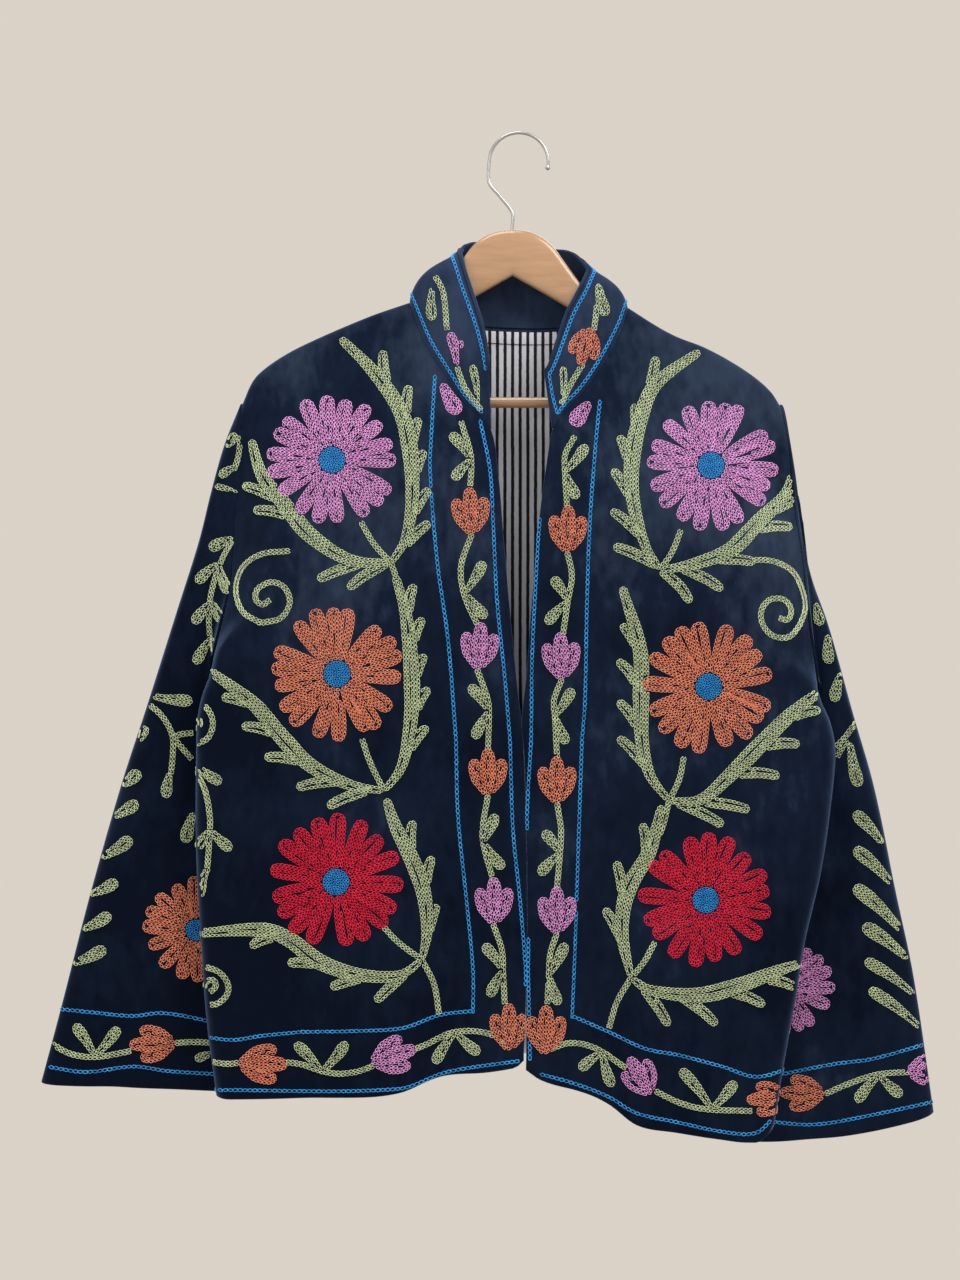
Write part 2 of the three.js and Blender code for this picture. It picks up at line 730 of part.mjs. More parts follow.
const jacket = new THREE.Group();
jacket.name = "jacket";
add(jacket, "front_right", wall(frontSurface(right), COLUMNS, ROWS, VELVET), velvet);
add(jacket, "front_left", wall(frontSurface(left), COLUMNS, ROWS, VELVET, { turn: -1 }), velvet);
add(jacket, "back", wall(backSurface, backColumns, ROWS, VELVET), velvet);
add(
  jacket,
  "back_lining",
  wall(backSurface, backColumns.slice(3, -3), ROWS.slice(1), LINING, { inset: VELVET + SEAM }),
  striped,
);
add(
  jacket,
  "collar",
  wall(collarSurface, collarColumns, COLLAR_RISE, COLLAR_WALL, { turn: -1 }),
  collarVelvet,
);
add(
  jacket,
  "sleeve_right",
  wall(sleeveSurface(right), sleeveRounds, SLEEVE_ROWS, VELVET, { turn: -1, round: true }),
  velvet,
);
add(
  jacket,
  "sleeve_left",
  wall(sleeveSurface(left), sleeveRounds, SLEEVE_ROWS, VELVET, { round: true }),
  velvet,
);

const hanger = new THREE.Group();
hanger.name = "hanger";
add(hanger, "hanger_arms", hangerArms(), wood);
add(hanger, "hanger_bar", hangerBar(), wood);
add(hanger, "hanger_hook", hangerHook(), chrome);

const jacketOnHanger = new THREE.Group();
jacketOnHanger.name = "jacket_on_hanger";
jacketOnHanger.add(jacket, hanger);

export default jacketOnHanger;
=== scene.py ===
"""An embroidered velvet jacket on a wooden hanger: cloth, chain stitch, hanger, light and camera.

Lengths are in millimetres until a mesh is made. The origin is the inside top of the hook,
the front faces -Y and the wearer's left is +X.
"""

import math

import bmesh
import bpy
import numpy as np
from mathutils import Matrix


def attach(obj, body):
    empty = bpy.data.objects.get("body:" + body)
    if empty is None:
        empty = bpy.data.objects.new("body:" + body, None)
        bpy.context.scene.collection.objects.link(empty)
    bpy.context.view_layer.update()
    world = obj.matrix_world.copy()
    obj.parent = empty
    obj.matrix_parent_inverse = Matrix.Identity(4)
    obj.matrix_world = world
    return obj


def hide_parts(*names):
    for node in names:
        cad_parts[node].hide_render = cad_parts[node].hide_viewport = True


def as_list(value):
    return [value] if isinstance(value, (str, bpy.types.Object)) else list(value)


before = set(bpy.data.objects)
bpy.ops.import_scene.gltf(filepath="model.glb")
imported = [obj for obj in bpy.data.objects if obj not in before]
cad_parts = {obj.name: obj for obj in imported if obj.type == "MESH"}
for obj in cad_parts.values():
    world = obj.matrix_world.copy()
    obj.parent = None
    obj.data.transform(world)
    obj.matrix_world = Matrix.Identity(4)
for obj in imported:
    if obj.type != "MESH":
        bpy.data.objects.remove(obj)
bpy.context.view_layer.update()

MM = 0.001

# ---- the photograph's view ----
CAMERA = np.array([-34.1, -1645.0, -436.6])
FOCAL_PX = 1904.8
CENTRE_PX = (480.0, 640.0)
LONG_SIDE_PX = 1280
SENSOR = 36.0

# ---- driving dimensions of the cloth, as in the part's source ----
VELVET = 2.2
COLLAR_WALL = 3.0
LINING = 1.0
SEAM = 0.3
CORNER_ROW = 0.2
UNDERARM_ROW = 0.4
ARMHOLE_DEPTH = 14
ARMHOLE_LEAN = -6
FRONT_DEPTH = 48
BACK_DEPTH = 24
SIDE_FORWARD = -26
BACK_SIDE = -13
SIDE_THICKNESS = 13
SLEEVE_BEHIND = (15, 75)
RIDGE_RADIUS = 10
RIDGE_DEPTH = 9
NECK_HUMP = 11
BACK_NECK = 0.38
COLLAR_SIDE = 0.3

# ---- how the cloth falls ----
FRONT_FALL = 170  # the drop over which the front comes forward
BACK_FALL = 140
CREASE_FALL = 40
FREE_EDGE = 60  # how far in from its edge the cloth bends, and where the side seam holds it
TIGHT_EDGE = 14
TIGHT_ROWS = 0.05
FOLD_SHARE = 0.1  # of a flat tube's width, for the round of each fold
NECK_HALF = 95
HUMP_POWER = 0.7
BEHIND_SLEEVE_ROWS = (0.29, 0.15)  # where the back starts to lie behind the sleeve, and over how many
BEHIND_SLEEVE_FADE = 90
CAP_ROWS = 0.2  # of the sleeve, which follow the armhole
SLEEVE_CLEAR = 1.4  # in seams
WRAP_SHARE = 0.25
OUTER_WRAP = 0.6
OUTER_WRAP_SHARE = 0.3
SLEEVE_FOLD_ROWS = 0.3
COLLAR_NEAR = 0.02
SWELL_POWER = 0.8
FOLD_RISE = 0.45  # of a fold's length
FOLD_END = 30
RIM_ROUND = 0.35  # of the cloth's thickness

RIGHT = dict(
    side=-1,
    ridge=[  # column, x, z
        [0, -95.4, -145.6],
        [0.24, -130, -157.6],
        [0.6, -182, -180],
        [0.8, -208, -194],
        [0.92, -225.8, -207.7],
        [0.96, -232.2, -217],
        [1, -238.8, -232.8],
    ],
    opening=[  # row, x, z
        [0, -95.4, -145.6],
        [0.066, -79.5, -185.7],
        [0.116, -62.2, -213.6],
        [0.159, -46.8, -236],
        [0.2, -26.5, -257],
        [0.255, -19.8, -293.8],
        [0.344, -14.8, -352.8],
        [0.445, -9, -419.8],
        [0.533, -3.1, -478.5],
        [0.573, -0.2, -505],
        [0.621, 2.2, -537],
        [0.734, 4.2, -612],
        [0.86, 4.8, -696],
        [1, 2, -789],
    ],
    outer=[  # row, x, z
        [0, -238.8, -232.8],
        [0.042, -237.5, -256],
        [0.077, -237.5, -275.6],
        [0.117, -238.1, -298],
        [0.154, -242, -318.7],
        [0.22, -244.2, -355.5],
        [0.283, -247.1, -390.5],
        [0.343, -254.5, -423.8],
        [0.4, -262.5, -455.5],
        [0.421, -264.5, -468],
        [0.446, -270, -483.4],
        [0.48, -274, -505],
        [0.536, -275, -538.6],
        [0.661, -275, -615],
        [0.801, -270.4, -700],
        [0.899, -266, -760],
        [1, -258, -821.5],
    ],
    hem=[  # column, x, z
        [0, 2, -789],
        [0.03, -5, -795],
        [0.24, -62, -802.3],
        [0.4, -103, -816],
        [0.72, -185, -821],
        [1, -258, -821.5],
    ],
    sleeve_outer=[  # row, x, y, z
        [0, -238.8, 0, -232.8],
        [0.057, -253.5, 0, -268],
        [0.12, -265, 2, -306],
        [0.2, -276.4, 3, -350.5],
        [0.3, -295, 4, -409],
        [0.44, -321.7, 5, -493],
        [0.56, -343.8, 5, -560.5],
        [0.72, -371, 4, -656.5],
        [0.88, -395.5, 2, -753],
        [1, -412.4, 0, -817.5],
    ],
    sleeve_inner=[  # row, x, y, z
        [0, -262.5, -6, -455.5],
        [0.057, -267, 4, -473],
        [0.12, -270, 8, -492],
        [0.2, -270, 9, -518],
        [0.3, -262, 9, -552],
        [0.44, -248, 8, -612],
        [0.56, -236, 7, -665],
        [0.72, -222, 6, -733],
        [0.88, -209, 5, -794],
        [1, -202, 5, -826],
    ],
    cuff_sag=0,
    folded_from=0.6,
)
LEFT = dict(
    side=1,
    ridge=[  # column, x, z
        [0, 93.7, -149.9],
        [0.2, 119.6, -166.3],
        [0.32, 136, -174.9],
        [0.5, 158.5, -183.6],
        [0.66, 180, -194.8],
        [0.83, 202.5, -209.5],
        [0.94, 216.8, -222.4],
        [1, 224.1, -233.6],
    ],
    opening=[  # row, x, z
        [0, 93.7, -149.9],
        [0.037, 86.1, -172.2],
        [0.086, 71.8, -200],
        [0.138, 52.8, -226.8],
        [0.168, 39.4, -240.5],
        [0.2, 28.5, -257],
        [0.242, 23.1, -285],
        [0.319, 16.2, -336],
        [0.42, 10.3, -403],
        [0.522, 5.3, -470],
        [0.575, 1.4, -505],
        [0.623, 3.8, -537],
        [0.736, 5.8, -612],
        [0.863, 6.4, -696],
        [1, 5, -797],
    ],
    outer=[  # row, x, z
        [0, 224.1, -233.6],
        [0.028, 226.4, -250.7],
        [0.06, 229, -270.3],
        [0.11, 231.5, -301.5],
        [0.163, 236, -334],
        [0.218, 241, -367.4],
        [0.272, 244, -400],
        [0.325, 247.5, -432.3],
        [0.362, 251, -455.4],
        [0.4, 254.5, -478],
        [0.42, 257, -490],
        [0.44, 262, -502],
        [0.468, 266, -518],
        [0.495, 267.6, -535],
        [0.585, 261.7, -591],
        [0.655, 254.9, -634],
        [0.747, 242, -690],
        [0.83, 233.6, -741],
        [0.927, 223, -800],
        [1, 216, -844.4],
    ],
    hem=[  # column, x, z
        [0, 5, -797],
        [0.05, 16.2, -804.7],
        [0.18, 44.8, -813.5],
        [0.32, 74, -826.5],
        [0.43, 96.4, -841.4],
        [0.6, 131.7, -849.4],
        [0.78, 170.5, -855],
        [0.9, 193.7, -858.5],
        [0.95, 202.4, -856.9],
        [1, 216, -844.4],
    ],
    sleeve_outer=[  # row, x, y, z
        [0, 224.1, 0, -233.6],
        [0.077, 233.6, 0, -281],
        [0.16, 240.4, 1, -333],
        [0.236, 250.6, 2, -379.5],
        [0.31, 266.3, 3, -423.6],
        [0.43, 286.4, 5, -494],
        [0.545, 306.3, 5, -563],
        [0.685, 324.3, 4, -650.4],
        [0.81, 340, 2, -726.3],
        [1, 357.1, 0, -843.4],
    ],
    sleeve_inner=[  # row, x, y, z
        [0, 254.5, -6, -478],
        [0.077, 259, 5, -496],
        [0.16, 262, 9, -515],
        [0.236, 261, 10, -540],
        [0.31, 257, 10, -570],
        [0.43, 246, 9, -625],
        [0.545, 230, 8, -682],
        [0.685, 208, 7, -747],
        [0.81, 180, 6, -802],
        [1, 148, 6, -863.4],
    ],
    cuff_sag=12,
    folded_from=-1,
)
BACK_NECK_EDGE = [  # column of the neck, x, z
    [0, -95.4, -145.6],
    [0.1, -77.6, -156.1],
    [0.25, -51.6, -163],
    [0.5, -3.5, -166.2],
    [0.75, 44.6, -165.6],
    [0.9, 75.6, -159.6],
    [1, 93.7, -149.9],
]
BACK_HEM = [  # column of the back, x, z
    [0, -258, -821.5],
    [0.25, -140, -818],
    [0.5, -15, -797],
    [0.62, 45, -810],
    [0.75, 105, -832],
    [1, 216, -844.4],
]
SIDE_SEAM = [  # row, y
    [0.4, ARMHOLE_LEAN],
    [0.412, -13],
    [0.43, -21],
    [0.47, SIDE_FORWARD],
    [1, SIDE_FORWARD],
]
SLEEVE_DEPTH = [  # row, half of the depth
    [0, ARMHOLE_DEPTH],
    [0.1, 12],
    [0.4, 15],
    [0.7, 14],
    [1, 12],
]
COLLAR_TOP = [  # place, x, y, z of the top edge, outward swell
    [0, -29, -40, -209, 0],
    [0.06, -28.5, -36, -191, 1],
    [0.12, -32, -29, -168.5, 3],
    [0.19, -40, -20, -140, 6],
    [0.24, -45.5, -14, -122, 9],
    [0.27, -48.5, -10, -110, 11],
    [0.31, -50.5, -1, -101, 11],
    [0.36, -48, 10, -93, 9],
    [0.43, -34, 17, -90.5, 5],
    [0.5, -3.5, 20, -95, 3],
    [0.58, 28.6, 17, -96.5, 5],
    [0.64, 47.5, 11, -99.8, 9],
    [0.69, 58.4, 2, -113.4, 9],
    [0.73, 55.5, -7, -124, 8],
    [0.77, 50, -13, -136, 6],
    [0.82, 40.3, -18, -155, 4],
    [0.88, 31.7, -27, -181, 2],
    [0.95, 25, -37, -203, 0],
    [1, 21.5, -40, -209, 0],
]

# Soft folds of the solids: x, z of both ends, half width, height
FRONT_FOLDS = [
    [-62, -600, -74, -830, 20, -7],
    [-38, -560, -32, -830, 16, 4],
    [-112, -560, -120, -840, 26, 4],
    [-228, -300, -150, -420, 22, 3],
    [-210, -470, -190, -830, 30, -4],
    [64, -560, 60, -860, 20, -7],
    [100, -600, 100, -880, 20, 6],
    [36, -560, 30, -830, 16, 3],
    [220, -330, 150, -430, 22, 3],
    [205, -500, 196, -880, 12, -5],
    [160, -500, 172, -880, 26, 3],
]
BACK_FOLDS = [
    [-120, -420, -110, -860, 26, 6],
    [-60, -300, -48, -860, 20, -4],
    [20, -380, 10, -860, 24, 5],
    [84, -300, 90, -860, 22, -5],
    [140, -420, 130, -860, 26, 5],
]
SLEEVE_FOLDS = [
    [-300, -470, -300, -780, 20, 3],
    [-345, -640, -352, -850, 18, -3],
    [-262, -500, -330, -600, 16, 3],
    [290, -540, 300, -840, 18, 3],
    [256, -520, 310, -610, 16, 3],
    [262, -660, 250, -880, 20, -3],
]
# Finer creases that only the cloth here has, in the same columns
FRONT_CREASES = [
    [-236, -322, -206, -366, 7, -2.0],
    [-240, -345, -196, -352, 6, 1.6],
    [-106, -168, -150, -232, 9, 1.5],
    [-150, -186, -196, -250, 10, -1.4],
    [-76, -200, -92, -262, 9, 1.2],
    [84, -196, 96, -262, 10, 1.4],
    [150, -190, 190, -262, 11, -1.5],
    [224, -300, 196, -372, 8, -1.8],
    [-252, -440, -205, -500, 10, 1.6],
    [250, -470, 206, -540, 11, 1.8],
    [-150, -640, -160, -830, 11, 1.6],
    [136, -640, 134, -860, 10, -1.8],
    [-30, -330, -40, -560, 11, 1.0],
    [44, -320, 50, -560, 12, 1.0],
]
BACK_CREASES = [
    [-232, -330, -170, -420, 10, 2.0],
    [-150, -200, -196, -290, 12, -1.6],
    [224, -340, 160, -430, 10, 2.0],
    [150, -210, 190, -290, 12, -1.6],
    [-86, -520, -80, -830, 10, 1.6],
    [52, -560, 50, -840, 11, -1.8],
    [112, -600, 112, -850, 9, 1.5],
]
SLEEVE_CREASES = [
    [-262, -470, -312, -520, 8, 1.8],
    [-268, -520, -300, -640, 9, -1.6],
    [-370, -680, -330, -720, 10, 1.2],
    [258, -500, 296, -560, 8, 1.8],
    [262, -560, 282, -660, 9, -1.5],
    [330, -700, 300, -760, 10, 1.2],
]
RIPPLES = [  # wave length along x, along z, phase, height
    [150, 260, 0.3, 0.35],
    [-83, 190, 1.9, 0.3],
    [61, -120, 4.1, 0.22],
    [-190, 74, 2.6, 0.28],
]

# ---- small functions, as in the part's source ----


def clamp(q):
    return np.clip(q, 0.0, 1.0)


def lerp(a, b, q):
    return a + (b - a) * q


def smooth(q):
    return clamp(q) ** 2 * (3 - 2 * clamp(q))


def roll(q):
    """A quarter of a round turn: steep at 0, level from 1."""
    return np.sqrt(1 - (1 - clamp(q)) ** 2)


def bend(q):
    """A soft bend: sloping at 0, level from 1."""
    return clamp(q) * (2 - clamp(q))


def through(rows):
    """A smooth line through the rows of a table, whose first column is the place along it."""
    table = np.array(rows, float)
    place, values = table[:, 0], table[:, 1:]
    last = len(place) - 1
    before = np.maximum(np.arange(last + 1) - 1, 0)
    after = np.minimum(np.arange(last + 1) + 1, last)
    slopes = (values[after] - values[before]) / (place[after] - place[before])[:, None]

    def at(places):
        places = np.asarray(places, float)
        i = np.clip(np.searchsorted(place, places), 1, last)
        span = place[i] - place[i - 1]
        q = clamp((places - place[i - 1]) / span)
        start = (1 + 2 * q) * (1 - q) ** 2
        rising = q * (1 - q) ** 2 * span
        falling = q * q * (q - 1) * span
        return (
            start[..., None] * values[i - 1]
            + (1 - start)[..., None] * values[i]
            + rising[..., None] * slopes[i - 1]
            + falling[..., None] * slopes[i]
        )

    return at


def beside_line(x, z, x0, z0, x1, z1):
    """How far points are along a line and across it, and the line's length."""
    length = math.hypot(x1 - x0, z1 - z0)
    along = ((x - x0) * (x1 - x0) + (z - z0) * (z1 - z0)) / length
    across = ((x - x0) * (z1 - z0) - (z - z0) * (x1 - x0)) / length
    return along, across, length


def folds_at(folds, x, z):
    """Soft folds, which rise slowly and run off at the lower end."""
    out = np.zeros_like(x)
    for *line, half_width, height in folds:
        along, across, length = beside_line(x, z, *line)
        ends = smooth(along / (FOLD_RISE * length)) * smooth((length - along) / FOLD_END + 1)
        out = out + height * ends * np.exp(-((across / half_width) ** 2))
    return out


def creases_at(creases, x, z):
    """Short creases, which fade at both ends, and the velvet's slight unevenness."""
    out = np.zeros_like(x)
    for *line, half_width, height in creases:
        along, across, length = beside_line(x, z, *line)
        ends = smooth(0.5 + along / length) * smooth(1.5 - along / length)
        out = out + height * ends**2 * np.exp(-((across / half_width) ** 2))
    for wave_x, wave_z, phase, height in RIPPLES:
        out = out + height * np.sin(2 * math.pi * (x / wave_x + z / wave_z) + phase)
    return out


def patch(start, end, top, bottom):
    """A patch between four edges, in x and z."""

    def at(column, row):
        c, r = column[..., None], row[..., None]
        sides = lerp(start(row), end(row), c)
        ends = lerp(top(column), bottom(column), r)
        corners = lerp(
            lerp(top(np.zeros(1)), top(np.ones(1)), c),
            lerp(bottom(np.zeros(1)), bottom(np.ones(1)), c),
            r,
        )
        return sides + ends - corners

    return at


# ---- the body's shape ----
EDGES = ("ridge", "opening", "outer", "hem", "sleeve_outer", "sleeve_inner")


def edges(cut):
    lines = {name + "_at": through(cut[name]) for name in EDGES}
    return {**cut, **lines}


right = edges(RIGHT)
left = edges(LEFT)
side_seam_at = through(SIDE_SEAM)
neck_at = through(BACK_NECK_EDGE)
back_hem_at = through(BACK_HEM)
sleeve_depth_at = through(SLEEVE_DEPTH)
collar_top_at = through(COLLAR_TOP)


def flat_tube(across):
    """A flat tube's half depth across its width, round at both folds."""
    return roll(across / FOLD_SHARE) * roll((1 - across) / FOLD_SHARE)


def edge_depth(row, facing):
    seam = side_seam_at(row)[..., 0] + facing * SEAM / 2
    across = clamp(row / UNDERARM_ROW)
    half = np.maximum(ARMHOLE_DEPTH * flat_tube(across), SEAM / 2)
    return np.where(row > UNDERARM_ROW, seam, ARMHOLE_LEAN * across + facing * half)


def beside_edge(inset, row):
    tight = smooth((row - UNDERARM_ROW + TIGHT_ROWS) / TIGHT_ROWS)
    width = lerp(FREE_EDGE, TIGHT_EDGE, tight)
    return lerp(bend(inset / width), roll(inset / width), tight)


def stack(x, y, z):
    return np.stack(np.broadcast_arrays(x, y, z), axis=-1)


def front_surface(cut):
    flat = patch(cut["opening_at"], cut["outer_at"], cut["ridge_at"], cut["hem_at"])

    def at(column, row):
        x, z = np.moveaxis(flat(column, row), -1, 0)
        drop = cut["ridge_at"](column)[..., 1] - z
        inset = np.abs(x - cut["outer_at"](row)[..., 0])
        hang = RIDGE_DEPTH * roll(drop / RIDGE_RADIUS)
        hang = hang + (FRONT_DEPTH - RIDGE_DEPTH) * smooth(drop / FRONT_FALL)
        creases = creases_at(FRONT_CREASES, x, z) * smooth(drop / CREASE_FALL)
        middle = -hang - folds_at(FRONT_FOLDS, x, z) - creases - SEAM / 2
        y = lerp(edge_depth(row, -1), middle, beside_edge(inset, row))
        return stack(x, y, z)

    return at


def back_top(column):
    on_right = right["ridge_at"](1 - column / BACK_NECK)
    on_left = left["ridge_at"](1 - (1 - column) / BACK_NECK)
    neck = neck_at((column - BACK_NECK) / (1 - 2 * BACK_NECK))
    top = np.where((column < BACK_NECK)[..., None], on_right, neck)
    return np.where((column > 1 - BACK_NECK)[..., None], on_left, top)


def back_ridge_z(column):
    neck = clamp((column - BACK_NECK) / (1 - 2 * BACK_NECK))
    level = lerp(RIGHT["ridge"][0][2], LEFT["ridge"][0][2], neck)
    return np.where((neck > 0) & (neck < 1), level, back_top(column)[..., 1])


back_flat = patch(right["outer_at"], left["outer_at"], back_top, back_hem_at)


def back_surface(column, row):
    x, z = np.moveaxis(back_flat(column, row), -1, 0)
    drop = back_ridge_z(column) - z
    from_right = x - right["outer_at"](row)[..., 0]
    from_left = left["outer_at"](row)[..., 0] - x
    inset = np.minimum(from_right, from_left)
    neck = clamp((x + NECK_HALF) / (2 * NECK_HALF))
    hump = NECK_HUMP * np.sin(math.pi * neck) ** HUMP_POWER * (1 - smooth(drop / BACK_FALL))
    hang = RIDGE_DEPTH * roll(drop / RIDGE_RADIUS)
    hang = hang + (BACK_DEPTH - RIDGE_DEPTH) * smooth(drop / BACK_FALL)
    below = (row - UNDERARM_ROW) / (1 - UNDERARM_ROW)
    overlap = lerp(SLEEVE_BEHIND[0], SLEEVE_BEHIND[1], below)
    first, over = BEHIND_SLEEVE_ROWS
    away = smooth((inset - overlap) / BEHIND_SLEEVE_FADE)
    behind_sleeve = smooth((row - first) / over) * (1 - away)
    creases = creases_at(BACK_CREASES, x, z) * smooth(drop / CREASE_FALL)
    open_y = hang + hump + folds_at(BACK_FOLDS, x, z) + creases + SEAM / 2
    edge = edge_depth(row, 1)
    middle = lerp(open_y, np.maximum(BACK_SIDE, edge + SIDE_THICKNESS), behind_sleeve)
    return stack(x, lerp(edge, middle, beside_edge(inset, row)), z)


def sleeve_surface(cut):
    """Round runs 0 to 1 from the outer fold, over the front, and back."""
    corner = cut["ridge_at"](np.ones(1))[0]
    underarm = cut["outer_at"](np.full(1, UNDERARM_ROW))[0]

    def at(around, row):
        around, row = np.broadcast_arrays(around, row)
        front = around < 0.5
        across = np.where(front, 2 * around, 2 - 2 * around)
        outer = cut["sleeve_outer_at"](row)
        inner = cut["sleeve_inner_at"](row)
        armhole = cut["outer_at"](across * UNDERARM_ROW)
        fade = (1 - clamp(row / CAP_ROWS)) ** 2
        wrapped = smooth((across - cut["folded_from"]) / WRAP_SHARE)
        folded = np.maximum(wrapped, OUTER_WRAP * (1 - smooth(across / OUTER_WRAP_SHARE)))
        clear = SEAM * SLEEVE_CLEAR + VELVET * folded * fade
        bow = armhole - lerp(corner, underarm, across[..., None])
        sag = cut["cuff_sag"] * 4 * across * (1 - across) * row**3
        x = lerp(outer[..., 0], inner[..., 0], across) + bow[..., 0] * fade + cut["side"] * clear
        z = lerp(outer[..., 2], inner[..., 2], across) + bow[..., 1] * fade - sag
        half = sleeve_depth_at(row)[..., 0] * flat_tube(across)
        lift = folds_at(SLEEVE_FOLDS, x, z) + creases_at(SLEEVE_CREASES, x, z)
        folds = lift * flat_tube(across) * smooth(row / SLEEVE_FOLD_ROWS)
        depth = lerp(outer[..., 1], inner[..., 1], across)
        return stack(x, depth + np.where(front, -1, 1) * (half + folds), z)

    return at


front_right = front_surface(right)
front_left = front_surface(left)
sleeve_right = sleeve_surface(right)
sleeve_left = sleeve_surface(left)


def neck_seam(place):
    zero = np.zeros_like(place)
    on_right = front_right(zero, CORNER_ROW * clamp(1 - place / COLLAR_SIDE))
    on_left = front_left(zero, CORNER_ROW * clamp(1 - (1 - place) / COLLAR_SIDE))
    neck = clamp((place - COLLAR_SIDE) / (1 - 2 * COLLAR_SIDE))
    behind = back_surface(lerp(BACK_NECK, 1 - BACK_NECK, neck), zero)
    seam = np.where((place <= COLLAR_SIDE)[..., None], on_right, behind)
    return np.where((place >= 1 - COLLAR_SIDE)[..., None], on_left, seam)


def unit(vectors):
    return vectors / np.maximum(np.linalg.norm(vectors, axis=-1, keepdims=True), 1e-9)


def collar_surface(place, rise):
    place, rise = np.broadcast_arrays(place, rise)
    foot = neck_seam(place)
    top = collar_top_at(place)
    up = top[..., :3] - foot
    before = collar_top_at(np.maximum(place - COLLAR_NEAR, 0))[..., :3]
    after = collar_top_at(np.minimum(place + COLLAR_NEAR, 1))[..., :3]
    out = unit(np.cross(up, after - before))
    gap = SEAM / np.linalg.norm(up, axis=-1)
    swell = top[..., 3] * np.sin(math.pi * clamp(rise) ** SWELL_POWER)
    return foot + up * lerp(gap, 1, rise)[..., None] + out * swell[..., None]


# ---- meshes ----
def mesh_piece(name, points, faces, materials, face_materials=None, uv=None, tone=None):
    """A smooth mesh from arrays of points in millimetres and of four-cornered faces."""
    mesh = bpy.data.meshes.new(name)
    mesh.vertices.add(len(points))
    mesh.vertices.foreach_set("co", (points * MM).astype(np.float32).ravel())
    mesh.loops.add(faces.size)
    mesh.loops.foreach_set("vertex_index", faces.astype(np.int32).ravel())
    mesh.polygons.add(len(faces))
    mesh.polygons.foreach_set("loop_start", np.arange(0, faces.size, 4, dtype=np.int32))
    for slot_material in materials:
        mesh.materials.append(slot_material)
    if face_materials is not None:
        mesh.polygons.foreach_set("material_index", face_materials.astype(np.int32))
    if uv is not None:
        layer = mesh.uv_layers.new(name="cloth")
        layer.data.foreach_set("uv", uv[faces.ravel()].astype(np.float32).ravel())
    if tone is not None:
        shade = mesh.attributes.new("tone", "FLOAT", "POINT")
        shade.data.foreach_set("value", tone.astype(np.float32))
    mesh.update(calc_edges=True)
    mesh.shade_smooth()
    obj = bpy.data.objects.new(name, mesh)
    bpy.context.scene.collection.objects.link(obj)
    return obj


def face_outward(obj):
    shape = bmesh.new()
    shape.from_mesh(obj.data)
    bmesh.ops.recalc_face_normals(shape, faces=shape.faces)
    shape.to_mesh(obj.data)
    shape.free()


def grid_faces(rows, columns, closed=False):
    i, j = np.meshgrid(
        np.arange(rows - 1), np.arange(columns if closed else columns - 1), indexing="ij"
    )
    a = i * columns + j
    b = i * columns + (j + 1) % columns
    return np.stack([a, b, b + columns, a + columns], axis=-1).reshape(-1, 4)


NORMAL_STEP = 1e-5


def normals(surface, column, row, turn, closed=False):
    if closed:
        across = surface((column + NORMAL_STEP) % 1, row) - surface((column - NORMAL_STEP) % 1, row)
    else:
        across = surface(clamp(column + NORMAL_STEP), row) - surface(clamp(column - NORMAL_STEP), row)
    down = surface(column, clamp(row + NORMAL_STEP)) - surface(column, clamp(row - NORMAL_STEP))
    return unit(np.cross(across, down)) * turn


def shell(
    name, surface, columns, rows, thickness, materials, turn=1, inset=0.0, closed=False, facing=0
):
    """A sheet of cloth with a rounded rim: the first material outside, the last one inside.

    The first rows inside, as many as facing says, have the first material.
    """
    column, row = np.meshgrid(columns, rows)
    points = surface(column, row)
    normal = normals(surface, column, row, turn, closed)
    outer = points - normal * inset
    inner = points - normal * (inset + thickness)
    count = points.shape[0] * points.shape[1]
    index = np.arange(count).reshape(points.shape[:2])
    outward = np.zeros_like(points)
    outward[0] += unit(points[0] - points[1])
    outward[-1] += unit(points[-1] - points[-2])
    if closed:
        loops = [np.append(index[0], index[0][0]), np.append(index[-1], index[-1][0])]
    else:
        outward[:, 0] += unit(points[:, 0] - points[:, 1])
        outward[:, -1] += unit(points[:, -1] - points[:, -2])
        around = np.concatenate(
            [index[0, :-1], index[:-1, -1], index[-1, :0:-1], index[:0:-1, 0], index[0, :1]]
        )
        loops = [around]
    rim = (outer + inner) / 2 + unit(outward) * thickness * RIM_ROUND
    all_points = np.concatenate([part.reshape(-1, 3) for part in (outer, inner, rim)])
    faces = grid_faces(*points.shape[:2], closed)
    rims = []
    for loop in loops:
        a, b = loop[:-1], loop[1:]
        rims.append(np.stack([a, b, b + 2 * count, a + 2 * count], axis=-1))
        rims.append(np.stack([a + 2 * count, b + 2 * count, b + count, a + count], axis=-1))
    rims = np.concatenate(rims)
    all_faces = np.concatenate([faces, faces[:, ::-1] + count, rims])
    inside = np.zeros(len(all_faces))
    faced = facing * (len(faces) // (len(rows) - 1))
    inside[len(faces) + faced : 2 * len(faces)] = len(materials) - 1
    along = np.linalg.norm(np.diff(points, axis=0), axis=-1).mean(axis=1)
    down = np.concatenate([[0], np.cumsum(along)])
    round_width = column * np.linalg.norm(np.diff(points[-1], axis=0), axis=-1).sum()
    width = round_width if closed else points[..., 0]
    uv = np.stack([width * MM, np.broadcast_to(down[:, None] * MM, width.shape)], axis=-1)
    uv = np.concatenate([uv.reshape(-1, 2)] * 3)
    used = np.unique(all_faces)
    fresh = np.zeros(len(all_points), int)
    fresh[used] = np.arange(len(used))
    piece = mesh_piece(name, all_points[used], fresh[all_faces], materials, inside, uv[used])
    face_outward(piece)
    return piece


